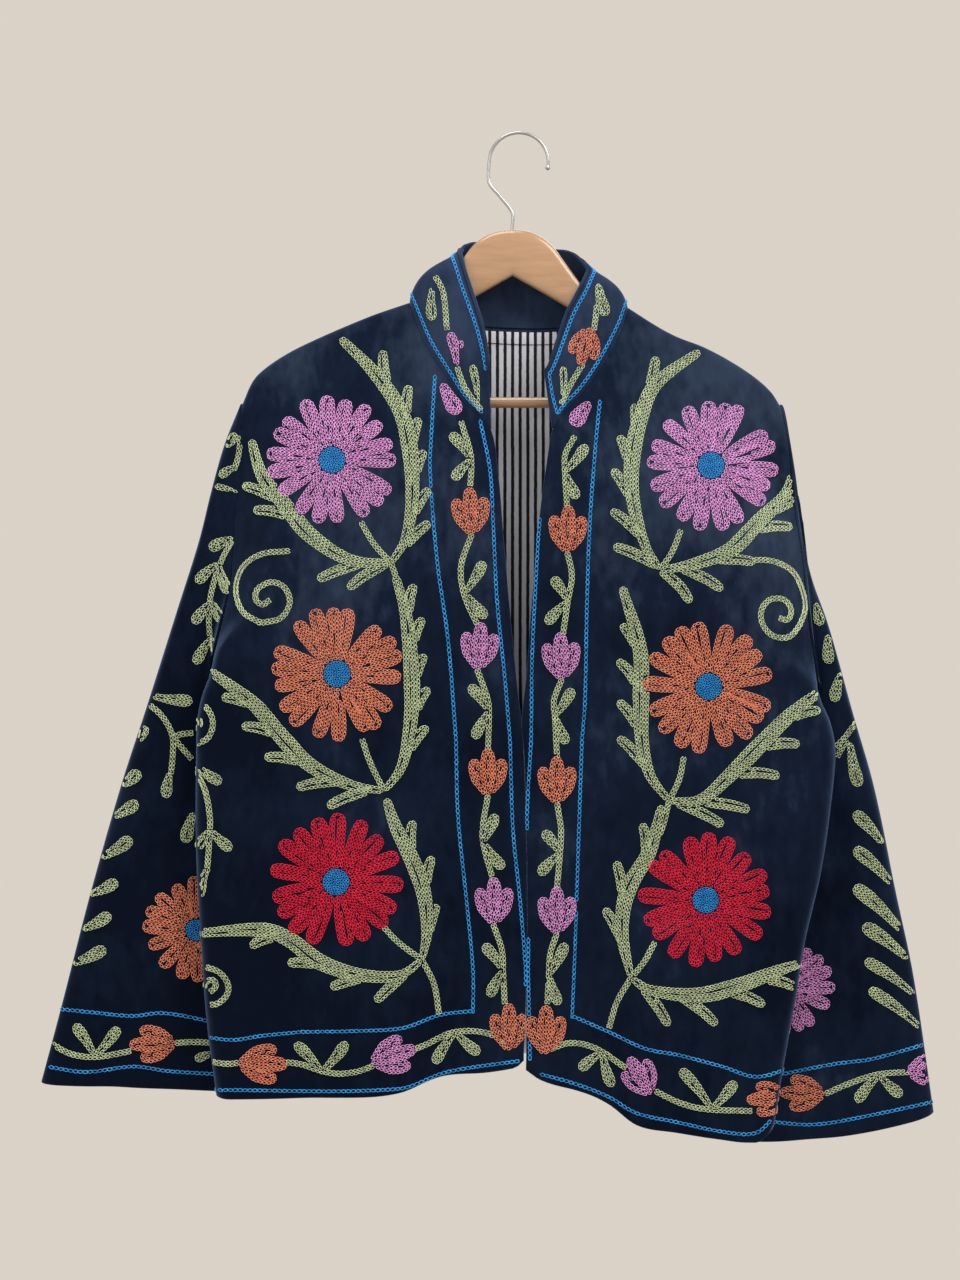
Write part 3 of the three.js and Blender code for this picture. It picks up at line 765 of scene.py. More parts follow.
def spread(start, end, step, length, tight_start=0.0, tight_end=0.0, crowd=8):
    """Places from start to end, a step apart on a length, and crowded beside an end that turns."""
    places = [np.array([start, end])]
    low, high = start + tight_start, end - tight_end
    places.append(np.linspace(low, high, max(2, math.ceil((high - low) * length / step) + 1)))
    ease = np.linspace(0, 1, crowd) ** 2
    if tight_start:
        places.append(start + tight_start * ease)
    if tight_end:
        places.append(end - tight_end * ease)
    return np.unique(np.round(np.concatenate(places), 6))


# ---- materials ----
class Shader:
    """Short calls for a material's nodes."""

    def __init__(self, name):
        self.material = bpy.data.materials.new(name)
        self.material.use_nodes = True
        self.nodes = self.material.node_tree.nodes
        self.links = self.material.node_tree.links
        self.surface = self.nodes["Principled BSDF"]
        self.place = self.nodes.new("ShaderNodeTexCoord").outputs["Object"]

    def node(self, kind, inputs=(), **settings):
        made = self.nodes.new("ShaderNode" + kind)
        for key, value in settings.items():
            setattr(made, key, value)
        for key, value in dict(inputs).items():
            self.set(made.inputs[key], value)
        return made

    def set(self, socket, value):
        if isinstance(value, bpy.types.NodeSocket):
            self.links.new(value, socket)
        else:
            socket.default_value = value

    def finish(self, **inputs):
        for key, value in inputs.items():
            self.set(self.surface.inputs[key.replace("_", " ")], value)
        return self.material

    def stretched(self, scale):
        return self.node("Mapping", {"Vector": self.place, "Scale": scale}).outputs["Vector"]

    def noise(self, scale, detail=3.0, vector=None):
        made = self.node(
            "TexNoise", {"Vector": vector or self.place, "Scale": scale, "Detail": detail}
        )
        return made.outputs["Fac"]

    def sum(self, a, b, operation="ADD"):
        return self.node("Math", {0: a, 1: b}, operation=operation).outputs[0]

    def ramp(self, value, stops):
        made = self.node("ValToRGB", {"Fac": value})
        elements = made.color_ramp.elements
        while len(elements) < len(stops):
            elements.new(1)
        for element, (position, colour) in zip(elements, stops):
            element.position = position
            element.color = (*colour, 1)
        return made.outputs["Color"]

    def bump(self, height, distance, strength=1.0):
        made = self.node("Bump", {"Height": height, "Distance": distance, "Strength": strength})
        return made.outputs["Normal"]


PAINTED_LIGHT_UP = 0.37  # painted light: how much lighter the velvet is painted for each metre further up, as where more light falls on the shoulders
PAINTED_LIGHT_ASIDE = 0.22  # painted light: and for each metre towards the wearer's left, the side the key light comes from


def velvet_material(name, deep, middle, light):
    """Cotton velvet: pile that lies this way and that in soft patches, with painted light that makes
    it lighter further up, at the shoulders, and towards the wearer's left.
    """
    s = Shader(name)
    patches = s.noise(9, 3)
    small = s.noise(70, 4, s.stretched((1.5, 1, 0.8)))
    mixed = s.sum(s.sum(patches, 0.6, "MULTIPLY"), s.sum(small, 0.3, "MULTIPLY"))
    place = s.node("SeparateXYZ", {0: s.place}).outputs
    # Painted light: the mix is pushed lighter with height and towards the wearer's left, where the
    # lamps light the velvet more.
    up = s.sum(s.sum(place["Z"], 0.55), PAINTED_LIGHT_UP, "MULTIPLY")
    painted_light_aside = s.sum(place["X"], PAINTED_LIGHT_ASIDE, "MULTIPLY")
    mixed = s.sum(mixed, s.sum(up, painted_light_aside))
    colour = s.ramp(mixed, [(0.32, deep), (0.5, middle), (0.68, light)])
    pile = s.noise(1100, 2)
    lie = s.sum(s.sum(small, 1.4, "MULTIPLY"), s.sum(pile, 0.5, "MULTIPLY"))
    return s.finish(
        Base_Color=colour,
        Roughness=0.9,
        Specular_IOR_Level=0.05,
        Sheen_Weight=0.5,
        Sheen_Roughness=0.36,
        Sheen_Tint=(0.3, 0.5, 1.0, 1),
        Normal=s.bump(lie, 0.0006, 0.8),
    )


def thread_material(name, colour):
    """Cotton thread: each stitch a little lighter or darker than the next."""
    s = Shader(name)
    tone = s.node("Attribute", attribute_name="tone").outputs["Fac"]
    dark = tuple(0.6 * part for part in colour)
    pale = tuple(min(1.0, 1.25 * part + 0.02) for part in colour)
    twist = s.noise(900, 2)
    return s.finish(
        Base_Color=s.ramp(tone, [(0.0, dark), (0.5, colour), (1.0, pale)]),
        Roughness=0.62,
        Specular_IOR_Level=0.16,
        Sheen_Weight=0.12,
        Normal=s.bump(twist, 0.0003, 0.6),
    )


STRIPE = 0.0067
STRIPE_DARK = 0.41


def lining_material():
    """Black and white striped cotton."""
    s = Shader("striped_cotton")
    uv = s.node("UVMap", uv_map="cloth").outputs["UV"]
    across = s.node("SeparateXYZ", {0: uv}).outputs["X"]
    wobble = s.sum(s.noise(220, 1), 0.0006, "MULTIPLY")
    turns = s.sum(s.sum(across, wobble), STRIPE, "DIVIDE")
    part = s.sum(turns, 0.0, "FRACT")
    colour = s.ramp(
        part,
        [
            (0.0, (0.012, 0.011, 0.016)),
            (STRIPE_DARK - 0.03, (0.014, 0.013, 0.018)),
            (STRIPE_DARK + 0.03, (0.66, 0.69, 0.78)),
            (0.97, (0.68, 0.71, 0.80)),
            (1.0, (0.05, 0.05, 0.06)),
        ],
    )
    weave = s.noise(1500, 2)
    return s.finish(
        Base_Color=colour,
        Roughness=0.8,
        Specular_IOR_Level=0.2,
        Normal=s.bump(weave, 0.0003, 0.5),
    )


def wood_material():
    """Lacquered beech: fine grain along the arms under a clear coat."""
    s = Shader("lacquered_beech")
    grain = s.noise(20, 4, s.stretched((1, 5, 7)))
    flecks = s.noise(240, 2, s.stretched((0.35, 4, 4)))
    mixed = s.sum(s.sum(grain, 0.75, "MULTIPLY"), s.sum(flecks, 0.25, "MULTIPLY"))
    colour = s.ramp(
        mixed, [(0.3, (0.37, 0.205, 0.100)), (0.5, (0.43, 0.25, 0.132)), (0.7, (0.475, 0.287, 0.16))]
    )
    return s.finish(
        Base_Color=colour,
        Roughness=0.36,
        Coat_Weight=1.0,
        Coat_Roughness=0.05,
        Normal=s.bump(flecks, 0.0001, 0.2),
    )


def chrome_material():
    s = Shader("chrome")
    shade = s.ramp(s.noise(20, 2), [(0.3, (0.42, 0.42, 0.43)), (0.7, (0.5, 0.5, 0.51))])
    return s.finish(Base_Color=shade, Metallic=1.0, Roughness=0.3)


velvet = velvet_material(
    "navy_velvet", (0.0018, 0.0044, 0.0135), (0.0052, 0.0108, 0.0285), (0.0240, 0.0385, 0.0740)
)
collar_velvet = velvet_material(
    "collar_velvet", (0.0050, 0.0100, 0.0260), (0.0105, 0.0195, 0.0460), (0.0250, 0.0410, 0.0850)
)
striped = lining_material()
wood = wood_material()
chrome = chrome_material()
THREAD = {
    "green": (0.64, 0.75, 0.46),
    "pink": (0.92, 0.42, 0.88),
    "orange": (1.0, 0.34, 0.20),
    "red": (0.94, 0.02, 0.07),
    "blue": (0.04, 0.40, 0.98),
    "navy": (0.012, 0.018, 0.036),
}
threads = {name: thread_material(name + "_thread", colour) for name, colour in THREAD.items()}

# ---- the cloth pieces ----
FRONT_STEP = 5.0
BACK_STEP = 6.0
LINING_STEP = BACK_STEP * 1.3
SLEEVE_STEP = 6.0
COLLAR_STEP = 4.0
# width and height of each piece, which its steps are counted on
FRONT_SPAN = (270, 640)
BACK_SPAN = (540, 640)
SLEEVE_SPAN = (420, 560)
COLLAR_SPAN = (470, 62)
LINING_REACH = 0.92  # of the shoulder's width, from the neck
LINING_EDGE = (1 - LINING_REACH) * BACK_NECK
LINING_TOP = 0.003
# Rows of faces with velvet inside too: beside the body the inner wall passes through the outer one
SLEEVE_FACING = 60
front_grid = (
    spread(0, 1, FRONT_STEP, FRONT_SPAN[0], tight_end=0.055),
    spread(0, 1, FRONT_STEP, FRONT_SPAN[1], tight_start=0.02),
)
back_grid = (
    spread(0, 1, BACK_STEP, BACK_SPAN[0], tight_start=0.03, tight_end=0.03),
    spread(0, 1, BACK_STEP, BACK_SPAN[1], tight_start=0.02),
)
lining_grid = (
    spread(LINING_EDGE, 1 - LINING_EDGE, LINING_STEP, BACK_SPAN[0]),
    spread(LINING_TOP, 1, LINING_STEP, BACK_SPAN[1]),
)
collar_grid = (
    spread(0, 1, COLLAR_STEP, COLLAR_SPAN[0]),
    spread(0, 1, COLLAR_STEP, COLLAR_SPAN[1], tight_start=0.1, tight_end=0.12, crowd=5),
)
sleeve_half = spread(0, 0.5, SLEEVE_STEP, SLEEVE_SPAN[0], tight_start=0.05, tight_end=0.05)
sleeve_grid = (
    np.concatenate([sleeve_half, (1 - sleeve_half)[::-1][1:-1]]),
    spread(0, 1, SLEEVE_STEP, SLEEVE_SPAN[1]),
)
lined = [velvet, striped]
under_velvet = dict(inset=VELVET + SEAM)
round_sleeve = dict(closed=True, facing=SLEEVE_FACING)
CLOTH = [  # node, surface, columns and rows, thickness, materials, turn, other settings
    ["front_right", front_right, front_grid, VELVET, lined, 1, {}],
    ["front_left", front_left, front_grid, VELVET, lined, -1, {}],
    ["back", back_surface, back_grid, VELVET, [velvet], 1, {}],
    ["back_lining", back_surface, lining_grid, LINING, [striped], 1, under_velvet],
    ["collar", collar_surface, collar_grid, COLLAR_WALL, [collar_velvet], -1, {}],
    ["sleeve_right", sleeve_right, sleeve_grid, VELVET, lined, -1, round_sleeve],
    ["sleeve_left", sleeve_left, sleeve_grid, VELVET, lined, 1, round_sleeve],
]
pieces = {
    node: shell("cloth_" + node, surface, *grid, thickness, materials, turn, **settings)
    for node, surface, grid, thickness, materials, turn, settings in CLOTH
}
SHEETS = [  # node, slot, flat width and length and cut area in metres, rests on
    ["front_right", "velvet", (0.29, 0.70), 0.165, ["hanger_arms"]],
    ["front_left", "velvet", (0.29, 0.72), 0.165, ["hanger_arms"]],
    ["back", "velvet", (0.58, 0.70), 0.345, ["hanger_arms"]],
    ["back_lining", "striped_lining", (0.55, 0.69), 0.32, ["hanger_arms"]],
    ["collar", "collar_velvet", (0.47, 0.07), 0.024, ["cloth_back"]],
    ["sleeve_right", "velvet", (0.42, 0.54), 0.15, ["cloth_front_right"]],
    ["sleeve_left", "velvet", (0.42, 0.54), 0.15, ["cloth_front_left"]],
]
for node, slot, flat, area, rests_on in SHEETS:
    piece = pieces[node]
    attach(piece, "root")
    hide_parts(node)
    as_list(rests_on)


# ---- the embroidery: where it lies ----


def photo_place(points):
    """Where points are seen in the photograph, in its pixels."""
    away = FOCAL_PX / (points[..., 1] - CAMERA[1])
    u = CENTRE_PX[0] + (points[..., 0] - CAMERA[0]) * away
    v = CENTRE_PX[1] - (points[..., 2] - CAMERA[2]) * away
    return np.stack([u, v], axis=-1)


def edge_x(cut, name, z):
    """Where an edge of the cut stands at a height; its rows end with z."""
    rows = np.array(cut[name], float)
    return np.interp(-z, -rows[:, -1], rows[:, 1])


def nothing_over(points):
    return np.zeros(len(points), bool)


def under_body(cut):
    """Whether points of a sleeve lie behind the body."""

    def at(points):
        inside = cut["side"] * (edge_x(cut, "outer", points[:, 2]) - points[:, 0])
        return inside > COVERED_BY

    return at


def under_sleeves(points):
    """Whether points of the back lie before a sleeve."""
    low = edge_x(RIGHT, "sleeve_inner", points[:, 2]) + COVERED_BY
    high = edge_x(LEFT, "sleeve_inner", points[:, 2]) - COVERED_BY
    return (points[:, 0] < low) | (points[:, 0] > high)


def lining_inside(column, row):
    normal = normals(back_surface, column, row, 1)
    return back_surface(column, row) - normal * (VELVET + SEAM + LINING)


START_GRID = (40, 60)
AT_ONCE = 2000
SEARCH_ROUNDS = 6
LONGEST_MOVE = 0.08
COVERED_BY = 7  # how far under another piece a point lies before its stitches are left out


class Panel:
    """A part of a surface that is sewn on, and how to find a pixel of the photograph on it."""

    def __init__(self, surface, turn, columns=(0.0, 1.0), rows=(0.0, 1.0), covered=nothing_over):
        self.surface, self.turn, self.covered = surface, turn, covered
        self.low = np.array([columns[0], rows[0]])
        self.high = np.array([columns[1], rows[1]])
        c, r = np.meshgrid(
            np.linspace(*columns, START_GRID[0]), np.linspace(*rows, START_GRID[1])
        )
        self.starts = np.stack([c.ravel(), r.ravel()], axis=-1)
        self.seen = photo_place(surface(c, r)).reshape(-1, 2)

    def at(self, places):
        return self.surface(places[:, 0], places[:, 1])

    def slopes(self, places, step=2e-4):
        """How the surface moves with each of its two places."""
        moved = []
        for axis in range(2):
            shift = np.zeros(2)
            shift[axis] = step
            ahead = np.minimum(places + shift, self.high)
            behind = np.maximum(places - shift, self.low)
            run = (ahead - behind)[:, axis : axis + 1]
            moved.append((self.at(ahead) - self.at(behind)) / run)
        return moved

    def locate(self, wanted):
        """Places on the surface that are seen at the wanted pixels, and how far off they are."""
        places = np.empty_like(wanted)
        for i in range(0, len(wanted), AT_ONCE):
            gaps = wanted[i : i + AT_ONCE, None] - self.seen[None]
            places[i : i + AT_ONCE] = self.starts[(gaps**2).sum(-1).argmin(1)]
        for _ in range(SEARCH_ROUNDS):
            points = self.at(places)
            seen = photo_place(points)
            miss = wanted - seen
            across, down = self.slopes(places)
            step = 1e-3
            by_column = (photo_place(points + across * step) - seen) / step
            by_row = (photo_place(points + down * step) - seen) / step
            turn = by_column[:, 0] * by_row[:, 1] - by_column[:, 1] * by_row[:, 0]
            turn = np.where(np.abs(turn) < 1, 1, turn)
            dc = (miss[:, 0] * by_row[:, 1] - miss[:, 1] * by_row[:, 0]) / turn
            dr = (by_column[:, 0] * miss[:, 1] - by_column[:, 1] * miss[:, 0]) / turn
            move = np.clip(np.stack([dc, dr], axis=-1), -LONGEST_MOVE, LONGEST_MOVE)
            places = np.clip(places + move, self.low, self.high)
        miss = np.linalg.norm(wanted - photo_place(self.at(places)), axis=-1)
        return places, miss


COLLAR_PARTS = dict(right=(0.0, 0.33), behind=(0.33, 0.67), left=(0.67, 1.0))
FRONT_HALF = dict(columns=(0.0, 0.5))
BACK_HALF = dict(columns=(0.5, 1.0))
panels = {
    "front_right": Panel(front_right, 1),
    "front_left": Panel(front_left, -1),
    "back": Panel(back_surface, 1, covered=under_sleeves),
    **{
        "collar_" + part: Panel(collar_surface, -1, columns=columns)
        for part, columns in COLLAR_PARTS.items()
    },
    "sleeve_right": Panel(sleeve_right, -1, covered=under_body(RIGHT), **FRONT_HALF),
    "sleeve_left": Panel(sleeve_left, 1, covered=under_body(LEFT), **FRONT_HALF),
    "sleeve_right_behind": Panel(sleeve_right, -1, **BACK_HALF),
    "sleeve_left_behind": Panel(sleeve_left, 1, **BACK_HALF),
    "lining": Panel(lining_inside, -1, columns=(0.3, 0.7), rows=(0.0, 0.3)),
}
BEHIND = ("back", "sleeve_right_behind", "sleeve_left_behind", "collar_behind")
BACK_COARSE = 1.25
SEAM_WEIGHTS = np.array([1, 1, 1, 1e-6, 1e-6])

# ---- the embroidery: chain stitch ----
ROW_PX = 3.25
STITCH_PX = 4.3
DISC_STITCH_PX = 3.1
LINE_ROW_PX = 4.0
LINE_STITCH_PX = 4.9
CROWDED = 0.64  # of a row: two stitches placed by pixels are never nearer than this
LIFT = 0.1
THREAD_RISE = 0.75
LINE_TONE = 0.36
SAME_SPOT_PX = 1.0
FLATTEST = 0.2  # a stitch isn't stretched further than on cloth this edge-on
LONGEST = 2.2
ROW_SPACING = 0.93  # of a row's width
TURN_SPREAD = 0.07  # of a stitch, in radians
STITCH_OVERLAP = (1.1, 1.24)
WIDTH_SPREAD = (0.92, 1.08)
TONE_SPREAD = 0.16
SEAM_FINE = 0.004
SEAM_OVERLAP = 1.15
SEAM_TONE_SPREAD = 0.1
FILL_STEP = 1.5
THINNEST = -0.15  # of a row: how far past the middle the innermost row may still be drawn
STEM_SPACING = 0.92
DISC_SPACING = 0.95
DISC_POINTS = 24
SMALLEST_RING = 0.6
DISC_SHARE = 0.2
PETAL_SHARE = 0.126  # half width of a petal, of the radius, where there are the usual number
USUAL_PETALS = 17
PETAL_KNEES = (0.45, 0.75)
PETAL_REACH = (0.93, 1.02)
PETAL_TURN = 1.5  # degrees
PETAL_LEAN = 5
PETAL_WIDTH_SPREAD = (0.95, 1.06)
PETAL_TONE_SPREAD = 0.05
OPEN_GAP = 0.34  # a gap in a ring of petals, in petals
LEAFLET_RUN = 34
LEAFLET_KNEE = 8
LEAF_BOW = 0.03
# share of the length, share of the half width
PETAL_WIDTHS = [(0, 0.5), (0.35, 0.86), (0.7, 1), (1, 0.95)]
PADDLE_WIDTHS = [(0, 0.46), (0.35, 0.7), (0.72, 1), (1, 0.9)]
BRANCH_WIDTHS = [(0, 0.4), (0.2, 0.72), (0.5, 1), (0.75, 0.85), (0.93, 0.6), (1, 0.52)]
LEAFLET_WIDTHS = [(0, 4.4), (0.45, 5.8), (1, 5.0)]
LOBE_LINE = [(0, 0), (0.4, 0.62), (0.72, 0.98), (1, 1.08)]  # share of the reach, of the lean
TULIP_LOBES = [  # lean, reach, half widths at base, belly and tip, in shares of the size
    [0.0, 1.0, 0.06, 0.19, 0.12],
    [-0.27, 0.78, 0.06, 0.17, 0.12],
    [0.27, 0.78, 0.06, 0.17, 0.12],
]
# One loop of the chain: a ring seen from above, and its bands from the hole outwards
LOOP_RING = [(-0.52, 0.0), (-0.06, 0.45), (0.46, 0.3), (0.46, -0.3), (-0.06, -0.45)]
DENSE_BANDS = [(0.64, 0.0), (0.85, 1.0), (1.04, 0.0)]  # share of the ring's size, of its height
OPEN_BANDS = [(0.68, 0.1), (0.88, 0.9), (1.08, 0.0)]


def loop(bands):
    points = [(a * share, b * share, rise) for a, b in LOOP_RING for share, rise in bands]
    return np.array(points)[None]


LOOP_FACES = np.array(
    [
        [3 * k + band, 3 * k + band + 1, 3 * after + band + 1, 3 * after + band]
        for k, after in ((k, (k + 1) % len(LOOP_RING)) for k in range(len(LOOP_RING)))
        for band in range(2)
    ]
)


def arc(path):
    steps = np.linalg.norm(np.diff(path, axis=0), axis=1)
    return np.concatenate([[0], np.cumsum(steps)])


def resample(path, step):
    run = arc(path)
    places = np.linspace(0, run[-1], max(2, round(run[-1] / step) + 1))
    return np.stack([np.interp(places, run, part) for part in path.T], axis=-1)


def curve(points, step=2.0):
    """A smooth line through points, a step apart."""
    points = np.array(points, float)
    if len(points) == 2:
        return resample(points, step)
    table = np.column_stack([arc(points), points])
    run = table[-1, 0]
    return through(table)(np.linspace(0, run, max(3, round(run / step) + 1)))


def sideways(path):
    along = unit(np.gradient(path, axis=0))
    return np.stack([-along[:, 1], along[:, 0]], axis=-1)


def scaled(widths, half):
    return [(share, part * half) for share, part in widths]


class Work:
    """The stitches of one panel, by the colour of their thread."""

    def __init__(self, name, coarse=1.0, seed=1):
        self.panel = panels[name]
        self.name = name
        self.coarse = coarse
        self.random = np.random.default_rng(seed)
        self.cell = ROW_PX * CROWDED * coarse
        self.taken = {}
        self.sewn = {colour: [] for colour in THREAD}
        self.laid = {colour: [] for colour in THREAD}

    def crowded(self, spot):
        i, j = (int(math.floor(part / self.cell)) for part in spot)
        for a in (i - 1, i, i + 1):
            for b in (j - 1, j, j + 1):
                for other in self.taken.get((a, b), ()):
                    if math.hypot(spot[0] - other[0], spot[1] - other[1]) < self.cell:
                        return True
        self.taken.setdefault((i, j), []).append((spot[0], spot[1]))
        return False

    def row(self, path, colour, length=STITCH_PX, width=ROW_PX, tone=0.5, airy=0.0):
        """One row of chain stitch along a path in the photograph's pixels."""
        path = resample(path, length * self.coarse)
        middles = (path[1:] + path[:-1]) / 2
        steps = path[1:] - path[:-1]
        for middle, step in zip(middles, steps):
            if self.crowded(middle):
                continue
            turn = math.atan2(step[1], step[0]) + self.random.normal(0, TURN_SPREAD)
            long = math.hypot(*step) * self.random.uniform(*STITCH_OVERLAP)
            wide = width * self.coarse * self.random.uniform(*WIDTH_SPREAD)
            shade = tone + self.random.normal(0, TONE_SPREAD)
            self.sewn[colour].append((*middle, turn, long, wide, shade, airy))

    def seam(self, places, colour, length, width):
        """One row along a path in the panel's own two places; lengths in millimetres."""
        fine = resample(np.array(places, float), SEAM_FINE)
        points = self.panel.at(fine)
        table = resample(np.concatenate([points, fine], axis=1) * SEAM_WEIGHTS, length)
        table = table / SEAM_WEIGHTS
        steps = np.diff(table[:, :3], axis=0)
        middles = (table[1:] + table[:-1]) / 2
        across, down = self.panel.slopes(middles[:, 3:])
        normal = unit(np.cross(across, down)) * self.panel.turn
        count = len(steps)
        self.laid[colour].append(
            np.column_stack(
                [
                    middles[:, :3],
                    unit(steps),
                    normal,
                    np.linalg.norm(steps, axis=-1) * SEAM_OVERLAP,
                    np.full(count, width),
                    LINE_TONE + self.random.normal(0, SEAM_TONE_SPREAD, count),
                    np.ones(count),
                ]
            )
        )

    def fill(self, spine, widths, colour, tone=0.5):
        """Rows one inside the other over a petal or leaf; widths are (share of length, half width)."""
        spine = curve(spine, FILL_STEP)
        run = arc(spine)
        shares, halves = np.array(widths, float).T
        half = np.interp(run / run[-1], shares, halves)
        for end, radius in ((run[-1] - run, halves[-1]), (run, halves[0])):
            cap = np.sqrt(np.clip(end * (2 * radius - end), 0, None))
            half = np.where(end < radius, np.minimum(half, cap), half)
        across = sideways(spine)
        inset = ROW_PX * self.coarse / 2
        while True:
            inner = (half - inset)[:, None]
            kept = inner[:, 0] > THINNEST * ROW_PX
            if kept.sum() < 3:
                break
            inner = np.maximum(inner[kept], 0)
            there = spine[kept] + across[kept] * inner
            back = spine[kept] - across[kept] * inner
            self.row(np.concatenate([there, back[::-1], there[:1]]), colour, tone=tone)
            inset += ROW_PX * self.coarse * ROW_SPACING

    def stem(self, points):
        """Two rows side by side in green."""
        path = curve(points)
        for side in (-0.5, 0.5):
            offset = side * ROW_PX * self.coarse * STEM_SPACING
            self.row(path + sideways(path) * offset, "green")

    def line(self, points):
        """A single row of larger stitches in blue."""
        self.row(curve(points), "blue", LINE_STITCH_PX, LINE_ROW_PX, LINE_TONE, airy=1.0)

    def flower(self, u, v, radius, colour, petals, start, gaps):
        """A daisy round a blue disc. Gaps are the petals after which the ring stands open."""
        disc = DISC_SHARE * radius
        ring = disc - ROW_PX / 2
        while ring > SMALLEST_RING:
            turns = np.linspace(0, 2 * math.pi, DISC_POINTS)
            circle = np.stack([u + ring * np.cos(turns), v + ring * np.sin(turns)], axis=-1)
            self.row(circle, "blue", DISC_STITCH_PX)
            ring -= ROW_PX * DISC_SPACING * self.coarse
        steps = [1 + OPEN_GAP * (k in gaps) for k in range(petals)]
        turns = start + np.cumsum(steps) / sum(steps) * 360
        widest = PETAL_SHARE * radius * USUAL_PETALS / petals
        for degrees in turns:
            reach = radius * self.random.uniform(*PETAL_REACH)
            angle = math.radians(degrees + self.random.uniform(-PETAL_TURN, PETAL_TURN))
            lean = math.radians(self.random.uniform(-PETAL_LEAN, PETAL_LEAN))
            spine = []
            for far in (disc, PETAL_KNEES[0] * radius, PETAL_KNEES[1] * radius, reach):
                bent = angle + lean * far / radius
                spine.append((u + far * math.cos(bent), v + far * math.sin(bent)))
            half = widest * self.random.uniform(*PETAL_WIDTH_SPREAD)
            tone = 0.5 + self.random.normal(0, PETAL_TONE_SPREAD)
            self.fill(spine, scaled(PETAL_WIDTHS, half), colour, tone)

    def tulip(self, u, v, size, turn, colour):
        """Three lobes from the stem's end at (u, v); turn 0 stands up, 90 leans to the right."""
        angle = math.radians(turn)
        up = np.array([math.sin(angle), -math.cos(angle)])
        side = np.array([math.cos(angle), math.sin(angle)])
        for lean, reach, base, belly, tip in TULIP_LOBES:
            spine = [
                (u, v) + size * (reach * share * up + lean * spread_out * side)
                for share, spread_out in LOBE_LINE
            ]
            self.fill(spine, scaled([(0, base), (0.5, belly), (1, tip)], size), colour)

    def leaf(self, base_u, base_v, tip_u, tip_v, half, colour="green"):
        """A paddle with a round end."""
        middle_u = (base_u + tip_u) / 2 - (tip_v - base_v) * LEAF_BOW
        middle_v = (base_v + tip_v) / 2 + (tip_u - base_u) * LEAF_BOW
        spine = [(base_u, base_v), (middle_u, middle_v), (tip_u, tip_v)]
        self.fill(spine, scaled(PADDLE_WIDTHS, half), colour)

    def branch(self, spine, half, leaflets):
        """A long leaf with leaflets that leave it forwards at its side."""
        path = curve(spine)
        run = arc(path)
        self.fill(spine, scaled(BRANCH_WIDTHS, half), "green")
        for tip in leaflets:
            tip = np.array(tip, float)
            near = run[np.linalg.norm(path - tip, axis=1).argmin()]
            root = max(near - LEAFLET_RUN, 0)
            foot, knee = (
                np.array([np.interp(place, run, part) for part in path.T])
                for place in (root, root + LEAFLET_KNEE)
            )
            middle = (foot + tip) / 2 + (knee - foot) * 0.5
            self.fill([foot, middle, tip], LEAFLET_WIDTHS, "green")

    def on_cloth(self, sewn):
        """Stitches given by the photograph's pixels, as rows of place, directions and sizes."""
        table = np.array(sewn)
        places, miss = self.panel.locate(table[:, :2])
        shown = (miss < SAME_SPOT_PX) & ~self.panel.covered(self.panel.at(places))
        table, places = table[shown], places[shown]
        points = self.panel.at(places)
        across, down = self.panel.slopes(places)
        normal = unit(np.cross(across, down)) * self.panel.turn
        scale = (points[:, 1] - CAMERA[1]) / FOCAL_PX
        flat = np.stack([np.cos(table[:, 2]), 0 * scale, -np.sin(table[:, 2])], axis=-1)
        facing = np.copysign(np.maximum(np.abs(normal[:, 1]), FLATTEST), normal[:, 1])
        flat[:, 1] = -(flat * normal).sum(-1) / facing
        stretch = np.minimum(np.linalg.norm(flat, axis=-1), LONGEST) * scale
        sizes = [table[:, 3] * stretch, table[:, 4] * scale, table[:, 5], table[:, 6]]
        return np.column_stack([points, unit(flat), normal, *sizes])

    def pieces(self):
        """Makes a mesh of each colour on the panel's surface."""
        for colour in THREAD:
            rows = self.laid[colour]
            if self.sewn[colour]:
                rows = rows + [self.on_cloth(self.sewn[colour])]
            if not sum(len(part) for part in rows):
                continue
            table = np.concatenate(rows)
            points, along, normal = (table[:, k : k + 3, None].swapaxes(1, 2) for k in (0, 3, 6))
            beside = unit(np.cross(normal, along))
            long, wide, tone, airy = (table[:, k, None, None] for k in (9, 10, 11, 12))
            shape = lerp(loop(DENSE_BANDS), loop(OPEN_BANDS), airy)
            loops = (
                points
                + along * shape[..., :1] * long
                + beside * shape[..., 1:2] * wide
                + normal * (LIFT + shape[..., 2:] * THREAD_RISE * self.coarse)
            )
            corners = shape.shape[1]
            faces = LOOP_FACES[None] + (np.arange(len(table)) * corners)[:, None, None]
            piece = mesh_piece(
                f"stitches_{self.name}_{colour}",
                loops.reshape(-1, 3),
                faces.reshape(-1, 4),
                [threads[colour]],
                tone=np.repeat(clamp(tone.ravel()), corners),
            )
            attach(piece, "root")


